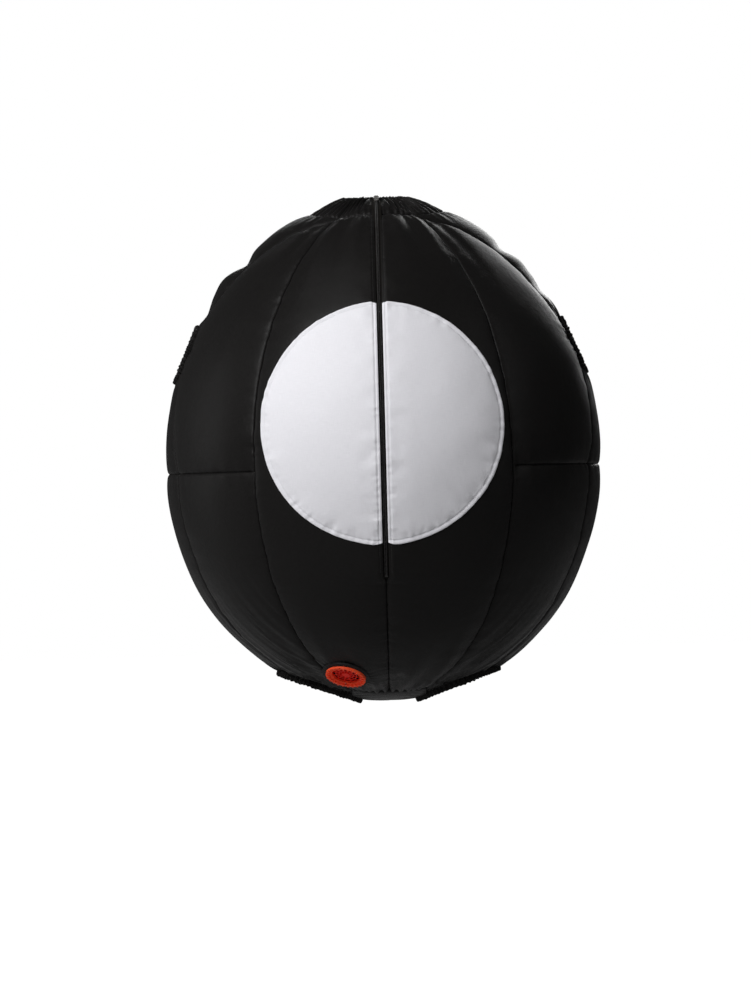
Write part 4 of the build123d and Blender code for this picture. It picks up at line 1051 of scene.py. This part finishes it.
half_turn = math.pi / 2 - 0.06
straight = np.linspace(-DISC_R + 0.012, DISC_R - 0.012, 700)
disc_rows = {}
for sign, word in SIDES:
    middle = BACK * (1 - sign)
    beside_zip = on_disc(np.full_like(straight, sign * (ZIP_EDGE + 0.0075)), straight, 1, word)
    disc_rows[word] = [disc_ring(1, middle - half_turn, middle + half_turn, word), beside_zip]
disc_rows["front"] = [disc_ring(-1, 0, 2 * math.pi, "front")]
disc_threads = [sew(f"disc_stitches_{word}", rows, WHITE_THREAD) for word, rows in disc_rows.items()]
figure_rows = []
for centre, radius in FIGURE_RINGS:
    for inset in (LINE / 2 - 0.0055, -LINE / 2 + 0.0055):
        turn = np.linspace(0, 2 * math.pi, 500)
        across, rise = (radius + inset) * np.cos(turn), centre + (radius + inset) * np.sin(turn)
        inside = figure_gap(across, rise) < -0.005
        for run in np.split(np.arange(500), np.where(np.diff(inside.astype(int)) != 0)[0] + 1):
            if inside[run[0]] and len(run) > 12:
                figure_rows.append(on_disc(across[run], rise[run], -1, "front", 2 * DISC_LIFT))
figure_thread = sew("figure_stitches", figure_rows, BLACK_THREAD)
zip_run = np.linspace(run_down(COLLAR_EL) + 0.005, run_down(ZIP_END_EL) - 0.02, 1200)
zip_rows = []
for sign in (1, -1):
    elevation = elevation_after(zip_run)
    off = np.arcsin((zip_edge(elevation) + 0.0060) / outline(elevation)[0])
    zip_rows.append(on_cloth(elevation, BACK - sign * off, 0.0001))
zip_thread = sew("zip_stitches", zip_rows, BLACK_THREAD)
print("stitched:", [thread.name for thread in (*disc_threads, figure_thread, zip_thread)])

# %% [markdown]
# ## Neck band, arm cuffs and leg hems
# Each opening ends in a casing: the cloth is folded over a woven elastic that gathers it. The casing is a
# strip bent round the elastic, with a pleat every few millimetres, left open where its stitched edges meet.

# %% Gathered casings
def ring_frame(mount_name, side=1):
    """Centre and three directions of an opening; the last points out of the ball."""
    centre, axis = place_of(mount_name)
    first = np.array([0.0, 1.0, 0.0])
    return [row * np.array([side, 1.0, 1.0]) for row in (centre, first, np.cross(axis, first), axis)]


def ring_point(place, radius, turn, height):
    centre, first, second, axis = place
    flat = np.cos(turn)[..., None] * first + np.sin(turn)[..., None] * second
    return centre + radius[..., None] * flat + height[..., None] * axis


WHOLE_TURN = (0.0, 2 * math.pi)
PLEAT_DEPTH = 0.0017
SQUARENESS = 0.55
LOOP_OPENING = 0.04


def pleats_round(turn, pleats, seed):
    """Noise coordinates round an opening, and how far the pleats stand out there."""
    around = ring_noise(turn, 2.2, seed)
    phase = pleats * turn + 5.5 * soft_noise(around, seed)
    strength = 1 + 0.6 * soft_noise(around * 1.9, seed + 1)
    return around, strength * ((1 - np.abs(np.sin(phase / 2))) * 2 - 0.7)


def squarer(wave, power):
    return np.sign(wave) * np.abs(wave) ** power


def gathered_casing(name, node, place, inner, low, high, pleats, seed, turn_span=WHOLE_TURN, flip=False):
    """A casing of cloth round its elastic, pleated all the way round, its cut size and its rows of stitches."""
    closed = turn_span == WHOLE_TURN
    turn = np.linspace(*turn_span, pleats * 14, endpoint=not closed)[None, :]
    loop = np.linspace(-1, 1, 30)[:, None] * (1 - LOOP_OPENING) * math.pi
    around, wave = pleats_round(turn, pleats, seed)
    radial, upright = squarer(np.cos(loop), SQUARENESS), squarer(np.sin(loop), SQUARENESS)
    radius = inner + (1 + radial) * CASING / 2 + PLEAT_DEPTH * wave * (0.25 + 0.75 * np.clip(radial, 0, 1))
    radius = np.maximum(radius, inner + 0.0002)
    hem = 0.0013 * soft_noise(around * np.array([4, 4, 1]), seed + 2)
    height = (low + high) / 2 + upright * (high - low) / 2 + hem * np.abs(upright) + 0.0007 * wave * upright
    points = ring_point(place, radius, turn + 0 * radius, height)
    uv = stacked(turn * inner, loop * (high - low) / 2)
    piece = make_piece(name, points, grid_faces(*radius.shape, closed=closed, flip=flip), uv, node)
    row_turn = np.linspace(*turn_span, 900)
    row_radius = inner + CASING + PLEAT_DEPTH * pleats_round(row_turn, pleats, seed)[1]
    outward = ring_point(place, np.ones_like(row_turn), row_turn, np.zeros_like(row_turn)) - place[0]
    rows = [(ring_point(place, row_radius, row_turn, np.full_like(row_turn, level)), outward)
            for level in (low + 0.22 * (high - low), high - 0.26 * (high - low))]
    return piece, grid_size(points), rows


def woven_elastic(name, node, place, inner, low, high, ribs, turn_span=WHOLE_TURN, flip=False):
    """The elastic inside a casing: a ribbed woven band."""
    closed = turn_span == WHOLE_TURN
    turn = np.linspace(*turn_span, ribs * 6, endpoint=not closed)[None, :]
    height = np.linspace(low, high, 12)[:, None]
    radius = inner + 0.0003 * np.cos(ribs * turn) * np.cos(np.linspace(0, 5.5 * math.pi, 12))[:, None]
    points = ring_point(place, radius, turn + 0 * radius, height + 0 * radius)
    uv = stacked(turn * inner, height)
    return make_piece(name, points, grid_faces(*radius.shape, closed=closed, flip=flip), uv, node)


casings, casing_threads, elastics = {}, {}, {}
CUFFS = {  # opening: (low and high edge from the casing's level, pleats, how far that level lies outside the mount)
    "arm": (-0.016, 0.004, 46, 0.006),
    "leg": (-0.022, 0.001, 62, 0.011),
}
for kind, (low, high, pleats, outside) in CUFFS.items():
    for side, word in SIDES:
        place = ring_frame(f"left_{kind}_opening", side)
        inner = MOUNTS[f"left_{kind}_opening"]["dims"]["r_mm"] / 1000
        place[0] = place[0] + place[3] * outside
        piece, size, rows = gathered_casing(f"{kind}_cuff_cloth_{word}", f"{kind}_cuff_{word}", place, inner, low, high,
                                            pleats, 300 + 10 * len(casings), flip=side < 0)
        casings[piece.name], casing_threads[piece.name] = (piece, size), rows
        middle = inner + CASING / 2
        elastic = woven_elastic(f"{kind}_elastic_band_{word}", f"{kind}_elastic_{word}", place, middle, low + 0.002,
                                high - 0.005, 110, flip=side < 0)
        elastics[elastic.name] = (elastic, 2 * math.pi * middle, high - low - 0.007)
neck_place = [np.zeros(3), *np.eye(3)]
zip_gap = math.asin(ZIP_EDGE / NECK_R)
neck_span = (BACK + zip_gap, BACK + 2 * math.pi - zip_gap)
neck_band, size, rows = gathered_casing("neck_band_cloth", "neck_band", neck_place, NECK_R, -0.014, 0.0, 58, 350,
                                        neck_span)
casings[neck_band.name], casing_threads[neck_band.name] = (neck_band, size), rows
neck_elastic = woven_elastic("neck_elastic_band", "neck_elastic", neck_place, NECK_R + CASING / 2, -0.012, -0.003, 120,
                             neck_span)
elastics[neck_elastic.name] = (neck_elastic, 2 * math.pi * NECK_R, 0.009)
print("casings:", list(casings), "elastics:", list(elastics))

# %% [markdown]
# ## Crotch gusset
# An hourglass of cloth closes the ball between the two legs. It is cut from the same height field, with its
# long edges along the leg openings.

# %% Gusset
def build_gusset():
    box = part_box("crotch_gusset")
    forward = np.linspace(box[1].y, box[0].y, 110)[:, None]
    low, high = np.zeros_like(forward), np.full_like(forward, float(LEG_AT[0]))
    for _ in range(30):
        middle = (low + high) / 2
        depth = np.sqrt(BOWL_R ** 2 - middle ** 2 - forward ** 2)
        point = stacked(middle, forward, BOWL_Z - depth)
        inside = from_axis(point, LEG_AT, LEG_AXIS)[0] < LEG_HOLE
        low, high = np.where(inside, low, middle), np.where(inside, middle, high)
    edge = np.minimum(high, box[1].x)
    across = edge * np.linspace(1, -1, 64)[None, :]
    across, forward, edge, lift = turned_in(np.broadcast_arrays(across, forward, edge))
    elevation = -np.arccos(np.hypot(across, forward) / BOWL_R)
    azimuth = np.arctan2(forward, across)
    flat = ball_point(elevation, azimuth)
    end_seam = seam_crease(box[1].y - np.abs(forward), across, 90)
    scallops = 0.0012 * soft_noise(stacked(forward / 0.009, across / 0.03, 0.0), 91)
    scallops *= np.exp(-(edge - np.abs(across)) / 0.012)
    height = CLOTH_OFF + 0.0015 * soft_noise(flat / 0.09, 1) + end_seam + scallops + 0.6 * cuff_gathers(flat) + lift
    points = flat + ball_normal(elevation, azimuth) * height[..., None]
    piece = make_piece("gusset_cloth", points, grid_faces(*across.shape), stacked(across, forward), "crotch_gusset")
    return piece, grid_size(flat[2:-2, 2:-2])


gusset, gusset_size = build_gusset()
print("gusset", [round(value, 3) for value in gusset_size])

# %% [markdown]
# ## Zip
# A nylon coil zip has two woven tapes, each with a row of bent plastic turns that hook into the other row.
# The slider rides over them, so the rows follow the same arc as its joint. Each turn is modelled, because
# the coil catches light in fine steps that a plain bead does not have.

# %% Tapes and teeth
def zip_point(across, angle, height):
    """Point beside the zip's middle line at an angle about the zip's axis."""
    radius = ARC_R + height
    return stacked(across, radius * np.cos(angle) - SHIFT, LEVEL + radius * np.sin(angle))


ZIP_TOP_EL = math.acos((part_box("zip_tape_left")[0].y + SHIFT) / ARC_R) - 0.002
COIL_TOP_EL = ZIP_TOP_EL - 0.003 / ARC_R
COIL_END_EL = ZIP_END_EL + (0.012 + 0.003) / ARC_R
TEETH_PITCH = 0.0016
COIL_GIRTH = 0.00052


def zip_tape(sign, word):
    """Woven tape with a ribbed edge beside the teeth."""
    across = np.array([0.0006, 0.0012, 0.0022, 0.0035, 0.0050, 0.0065, 0.0080, 0.0092, 0.0100])[None, :] * sign
    count = int(ARC_R * (ZIP_TOP_EL - ZIP_END_EL) / 0.004)
    angle = np.linspace(ZIP_TOP_EL, ZIP_END_EL, count)[:, None]
    height = -0.0004 + 0.00012 * np.cos(np.abs(across) / 0.0022 * math.pi) + 0 * angle
    points, uv = zip_point(across, angle, height), stacked(across, ARC_R * angle)
    faces = grid_faces(*height.shape, flip=sign > 0)
    return make_piece(f"zip_tape_cloth_{word}", points, faces, uv, f"zip_tape_{word}")


def zip_coil(sign, word):
    """One row of bent turns; the other row sits half a pitch along."""
    count = int(ARC_R * (COIL_TOP_EL - COIL_END_EL) / TEETH_PITCH)
    angles = COIL_END_EL + (np.arange(count) + 0.25 + 0.5 * (sign > 0)) * TEETH_PITCH / ARC_R
    bend = np.array([0.00045, 0.0007, 0.0015, 0.0026, 0.0033, 0.0033, 0.0026, 0.0015])
    level = np.array([0.0010, 0.0018, 0.0020, 0.0019, 0.0014, 0.0004, 0.0001, 0.0001])
    turn = np.linspace(0, 2 * math.pi, 5, endpoint=False)
    slope_across, slope_up = np.gradient(bend), np.gradient(level)
    size = np.hypot(slope_across, slope_up)
    across = bend[:, None] + COIL_GIRTH * np.cos(turn) * (-slope_up / size)[:, None]
    height = level[:, None] + COIL_GIRTH * np.cos(turn) * (slope_across / size)[:, None]
    along = COIL_GIRTH * np.sin(turn)
    points = zip_point(sign * across, angles[:, None, None] + along / ARC_R, height)
    quads = tube_faces(count, len(bend), len(turn))
    quads = quads if sign > 0 else quads[:, ::-1]
    return make_piece(f"zip_coil_{word}", points, quads, node=f"zip_teeth_{word}"), count


zip_tapes = [zip_tape(sign, word) for sign, word in SIDES]
zip_coils, zip_turns = zip(*(zip_coil(sign, word) for sign, word in SIDES))
print("zip turns:", zip_turns)

# %% [markdown]
# ## Patch round the fan
# A ring of stiffened cloth carries the screw-in fan. It is stitched on twice, and the cloth beside it puckers.

# %% Fan patch
level_line = np.cross([0.0, 0.0, 1.0], FAN_AXIS)
level_line /= np.linalg.norm(level_line)
FAN_PLACE = (FAN_AT, level_line, np.cross(FAN_AXIS, level_line), FAN_AXIS)


def fan_ring(radius, turn, lift):
    """Point on the bowl at a distance from the fan's axis, raised by lift."""
    drop = BOWL_R - np.sqrt(BOWL_R ** 2 - radius ** 2)
    return ring_point(FAN_PLACE, radius, turn, lift - drop)


PATCH_PROFILE = (  # distance from the fan's axis, and lift; low where the two rows of stitches draw it down
    (0.0372, 0.0010), (0.0375, 0.0042), (0.0400, 0.0046), (0.0430, 0.0046), (0.0445, 0.0044), (0.0455, 0.0038),
    (0.0466, 0.0045), (0.0480, 0.0044), (0.0492, 0.0036), (0.0503, 0.0044), (0.0512, 0.0042), (0.0519, 0.0032),
    (0.0522, 0.0008),
)


def build_patch():
    turn = np.linspace(0, 2 * math.pi, 240, endpoint=False)[None, :]
    radius, lift = np.array(PATCH_PROFILE).T[..., None]
    ripple = 0.0003 * np.cos(31 * turn) * bell(radius, 0.0495, 0.003)
    points = fan_ring(radius + 0 * turn, turn + 0 * radius, lift + ripple)
    uv = stacked(radius * np.cos(turn), radius * np.sin(turn))
    return make_piece("fan_patch_cloth", points, grid_faces(*ripple.shape, closed=True), uv, "fan_patch")


fan_patch = build_patch()
row_turn = np.linspace(0, 2 * math.pi, 400)
patch_rows = [(fan_ring(np.full(400, radius), row_turn, lift), np.tile(FAN_AXIS, (400, 1)))
              for radius, lift in ((0.0455, 0.0039), (0.0492, 0.0037))]
patch_thread = sew("fan_patch_stitches", patch_rows, BLACK_THREAD)
print("patch stitched with", len(patch_thread.data.polygons), "faces of thread")

# %% [markdown]
# ## Battery pocket
# A small open pocket of lining cloth hangs inside on the wearer's left and holds the battery box. Its mouth
# is hemmed, its lower corners are round, and it bellies out over the box.

# %% Pocket
def build_pocket():
    low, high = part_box("battery_pocket")
    centre, half = (low + high) / 2, (high - low) / 2
    turn = np.linspace(0, 2 * math.pi, 132, endpoint=False)[None, :]
    share = np.linspace(0, 1, 60)[:, None]
    flat_x, flat_y = squarer(np.cos(turn), 0.32), squarer(np.sin(turn), 0.32)
    close = np.clip((share - 0.90) / 0.10, 0, 1)
    draw_in = np.sqrt(np.clip(1 - close ** 2, 0, 1))
    hem = bell(share, 0.02, 0.03) + bell(share, 0.11, 0.012)
    swell = 1 - 0.025 + 0.02 * np.sin(share * math.pi) + 0.006 * hem
    ripple = 0.0007 * soft_noise(stacked(turn * 4, share * 9, 0.0), 401) * (1 - close)
    x = centre.x + (half.x * swell + ripple) * flat_x * draw_in
    y = centre.y + (half.y * swell + ripple) * flat_y * draw_in
    z = high.z - share * (high.z - low.z) * (1 - 0.012) + 0 * turn
    inside = outline(np.arcsin((z - LEVEL) / ARC_R))[0] - 0.0035
    points = stacked(np.minimum(x, np.sqrt(inside ** 2 - y ** 2)), y, z)
    uv = stacked(turn * 0.03, share * (high.z - low.z))
    faces = grid_faces(*z.shape, closed=True)
    return make_piece("battery_pocket_cloth", points, faces, uv, "battery_pocket"), grid_size(points)


pocket, pocket_size = build_pocket()
print("pocket", [round(value, 3) for value in pocket_size])

# %% [markdown]
# ## Plastic, metal and rubber
# The hard pieces keep their exact shapes from the frame and get finishes of their own. Moulded plastic has
# a fine spark grain and a faint flow shade, and enamel wears through to steel along its edges.

# %% Hard finishes
def hard_material(name, dark, light, roughness, grain, depth, worn=None, **shader_values):
    """Moulded, painted or plated surface; worn is the colour that shows along its edges."""
    material, tree, shader = start_material(name, roughness, **shader_values)
    moulded = moulded_grain(tree, grain)
    colour = ramp(tree, moulded["Shade"], dark, light)
    if worn is not None:
        edge = add_node(tree, "ShaderNodeNewGeometry").outputs["Pointiness"]
        edge = add_node(tree, "ShaderNodeMapRange", {"Value": edge, "From Min": 0.53, "From Max": 0.60}).outputs[0]
        broken = maths(tree, "MULTIPLY", edge, moulded["Height"])
        mix = add_node(tree, "ShaderNodeMix", {0: broken, 6: colour, 7: (*worn, 1)}, data_type="RGBA")
        colour = mix.outputs[2]
    tree.links.new(colour, shader.inputs["Base Color"])
    vary_roughness(tree, shader, moulded["Shade"], roughness, 0.07)
    add_bump(tree, shader, (moulded["Height"], depth, 0.6))
    return material


def cell_material():
    """Plain dark sleeve round each cell, with plated steel ends."""
    material, tree, shader = start_material("battery cell sleeve", 0.32, coat_weight=0.3)
    normal = add_node(tree, "ShaderNodeNewGeometry").outputs["Normal"]
    upright = add_node(tree, "ShaderNodeSeparateXYZ", {0: normal}).outputs["Z"]
    end = maths(tree, "GREATER_THAN", maths(tree, "ABSOLUTE", upright), 0.6)
    sleeve = ramp(tree, moulded_grain(tree, 700.0)["Shade"], (0.020, 0.045, 0.030), (0.030, 0.065, 0.042))
    mix = add_node(tree, "ShaderNodeMix", {0: end, 6: sleeve, 7: (0.62, 0.61, 0.58, 1)}, data_type="RGBA")
    tree.links.new(mix.outputs[2], shader.inputs["Base Color"])
    tree.links.new(end, shader.inputs["Metallic"])
    return material


HARD = {  # slot: name, dark, light, roughness, grain per metre, grain depth, worn colour, other values
    "zip_metal": ("black enamel", (0.006, 0.006, 0.006), (0.012, 0.012, 0.012), 0.30, 1800, 0.00004,
                  (0.20, 0.19, 0.18), dict(coat_weight=0.4, coat_roughness=0.2)),
    "zip_coil": ("black nylon", (0.007, 0.006, 0.006), (0.013, 0.012, 0.011), 0.36, 2600, 0.00003, None, {}),
    "fan_rim_red": ("orange-red moulded plastic", (0.86, 0.040, 0.010), (0.96, 0.062, 0.016), 0.46, 1500, 0.00006,
                    (0.98, 0.14, 0.05), dict(specular_ior_level=0.12)),
    "fan_deep_red": ("deep red moulded plastic", (0.74, 0.006, 0.002), (0.88, 0.010, 0.004), 0.46, 1500, 0.00006,
                     (0.90, 0.04, 0.02), dict(specular_ior_level=0.12)),
    "fan_black": ("black moulded plastic", (0.010, 0.010, 0.010), (0.018, 0.018, 0.018), 0.48, 1300, 0.00008, None, {}),
    "bright_steel": ("plated steel", (0.50, 0.50, 0.49), (0.64, 0.63, 0.61), 0.28, 2400, 0.00003, None,
                     dict(metallic=1.0)),
    "gland_rubber": ("soft black rubber", (0.008, 0.008, 0.008), (0.016, 0.016, 0.016), 0.72, 1100, 0.00008, None, {}),
    "battery_case": ("textured black case", (0.009, 0.009, 0.009), (0.016, 0.016, 0.017), 0.52, 900, 0.00012,
                     (0.03, 0.03, 0.03), {}),
    "switch_grey": ("grey switch", (0.20, 0.20, 0.21), (0.28, 0.28, 0.29), 0.42, 1200, 0.00006, (0.4, 0.4, 0.4), {}),
}
hard_finish = {slot: hard_material(name, dark, light, rough, float(grain), depth, worn, **more)
               for slot, (name, dark, light, rough, grain, depth, worn, more) in HARD.items()}
hard_finish["cell_wrap"] = cell_material()
print("hard finishes:", [material.name for material in hard_finish.values()])

# %% Dress the hard pieces and the sewn ones
NODE_SLOTS = {part["node"]: part["material_slot"] for part in frame["record"]["subparts"]}
for name, node in frame["nodes"].items():
    finish = hard_finish.get(NODE_SLOTS[name])
    if finish is not None:
        for place in node.material_slots:
            place.material = finish
TAPE_CLOTH = woven_material(
    "woven zip tape", (0.0040, 0.0035, 0.0030), (0.0085, 0.0070, 0.0060), 0.66, 1500.0, 0.00022, 0.0,
    specular_ior_level=0.12)
ELASTIC_CLOTH = woven_material(
    "ribbed elastic", (0.010, 0.010, 0.010), (0.020, 0.020, 0.020), 0.72, 900.0, 0.00035, 0.0,
    specular_ior_level=0.15, sheen_weight=0.1)
PATCH_CLOTH = woven_material(
    "stiffened polyester", (0.008, 0.007, 0.007), (0.014, 0.013, 0.013), 0.55, 1600.0, 0.00015, 0.0005,
    specular_ior_level=0.15)
LINING_CLOTH = woven_material(
    "lining cloth", (0.010, 0.010, 0.010), (0.018, 0.018, 0.018), 0.60, 1800.0, 0.00012, 0.0010,
    specular_ior_level=0.15)
SEWN = [  # pieces, material, slot
    (white_discs, WHITE_SATIN, "disc_white"),
    ([figure], BLACK_SATIN, "numeral_black"),
    ([gusset], BLACK_SATIN, "ball_black"),
    ([piece for piece, size in casings.values()], BLACK_SATIN, "cuff_black"),
    ([piece for piece, *size in elastics.values()], ELASTIC_CLOTH, "elastic_black"),
    (zip_tapes, TAPE_CLOTH, "zip_tape"),
    (zip_coils, hard_finish["zip_coil"], "zip_coil"),
    ([fan_patch], PATCH_CLOTH, "fan_patch"),
    ([pocket], LINING_CLOTH, "pocket_black"),
]
for pieces, material, slot in SEWN:
    for piece in pieces:
        dress(piece, material)
for name, rows in casing_threads.items():
    sew(name.replace("cloth", "stitches"), rows, BLACK_THREAD)

# %% [markdown]
# ## Studio
# The ball hangs where a wearer would carry it, over a pale floor. A large soft light stands at its upper
# left rear, a weaker one opposite, and the sky is white to the eye but dim as a light source, so that the
# black cloth keeps its depth.

# %% Floor
FLOOR_Z = cad_box[0][2] - 0.478
FLOOR_REACH = 30.0


def build_floor():
    corners = [(x * FLOOR_REACH, y * FLOOR_REACH, FLOOR_Z) for x, y in ((-1, -1), (1, -1), (1, 1), (-1, 1))]
    mesh = bpy.data.meshes.new("studio_floor")
    mesh.from_pydata(corners, [], [(0, 1, 2, 3)])
    floor = bpy.data.objects.new("studio_floor", mesh)
    bpy.context.scene.collection.objects.link(floor)
    material, tree, shader = start_material("pale studio floor", 0.7)
    shader.inputs["Base Color"].default_value = (0.45, 0.45, 0.45, 1)
    shader.inputs["Emission Color"].default_value = (1, 1, 1, 1)
    tree.links.new(add_node(tree, "ShaderNodeLightPath").outputs["Is Camera Ray"], shader.inputs["Emission Strength"])
    mesh.materials.append(material)


build_floor()
print("floor at", round(FLOOR_Z, 3), "m")

# %% Sky and lights
def build_sky():
    world = bpy.data.worlds.new("studio white")
    bpy.context.scene.world = world
    world.use_nodes = True
    tree = world.node_tree
    tree.nodes.clear()
    seen = add_node(tree, "ShaderNodeLightPath").outputs["Is Camera Ray"]
    strength = add_node(tree, "ShaderNodeMapRange", {"Value": seen, "To Min": 0.05, "To Max": 1.0}).outputs["Result"]
    shade = add_node(tree, "ShaderNodeBackground", {"Color": (1, 1, 1, 1), "Strength": strength})
    add_node(tree, "ShaderNodeOutputWorld", {"Surface": shade.outputs[0]})


def soft_light(name, at, width, height, power):
    """A rectangular soft light that faces the middle of the ball."""
    lamp = bpy.data.lights.new(name, "AREA")
    lamp.shape, lamp.size, lamp.size_y, lamp.energy = "RECTANGLE", width, height, power
    holder = bpy.data.objects.new(name, lamp)
    holder.location = at
    holder.rotation_euler = (Vector((0.0, 0.0, LEVEL)) - Vector(at)).to_track_quat("-Z", "Y").to_euler()
    bpy.context.scene.collection.objects.link(holder)


build_sky()
LIGHTS = [  # name, place in metres, width, height, power in watts
    ("key", (2.1, 2.9, 1.6), 1.6, 2.0, 150),
    ("top", (1.2, 1.5, 2.5), 1.4, 1.4, 20),
    ("right_fill", (-3.2, 1.7, 1.1), 1.2, 2.0, 15),
    ("left_rim", (3.4, -0.6, 0.0), 1.0, 2.4, 14),
    ("front_side", (-0.6, -3.6, 0.9), 2.4, 1.8, 70),
]
for name, at, width, height, power in LIGHTS:
    soft_light(name, at, width, height, power)
bpy.context.scene.view_settings.view_transform = "Standard"
print("lights:", [name for name, *rest in LIGHTS])

# %% [markdown]
# ## Camera
# A level camera stands behind the wearer's back, a little below the belly, with a long lens. It leans a
# little to one side, so that the ball looks slightly turned.

# %% Camera
CAMERA_AT = (0.0187, 16.8, -0.6545)
CAMERA_LEAN = math.radians(1.5)
LENS_MM, FILM_HEIGHT_MM = 278.8, 36.0


def build_camera():
    lens = bpy.data.cameras.new("studio_camera")
    lens.sensor_fit, lens.sensor_height, lens.lens = "VERTICAL", FILM_HEIGHT_MM, LENS_MM
    camera = bpy.data.objects.new("studio_camera", lens)
    upright = Matrix.Rotation(math.pi, 4, "Z") @ Matrix.Rotation(math.pi / 2, 4, "X")
    lean = Matrix.Rotation(-CAMERA_LEAN, 4, "Z")
    camera.matrix_world = Matrix.Translation(CAMERA_AT) @ upright @ lean
    bpy.context.scene.collection.objects.link(camera)
    bpy.context.scene.camera = camera


build_camera()
print("camera set")

# %% Sizes of the cut pieces
WHITE_SIZES = {
    "white_disc_left": (0.251, 0.513),
    "white_disc_right": (0.251, 0.513),
    "white_disc_front": (0.514, 0.514),
}
for name, piece in black_cloth.items():
    declare_cut(cuts[name])
declare_cut(collar_size, GATHER)
declare_cut(gusset_size)
for piece in white_discs:
    width, length = (size + 2 * TURN_IN for size in WHITE_SIZES[piece.name])
print("cad box", [round(float(v), 3) for corner in cad_box for v in corner])
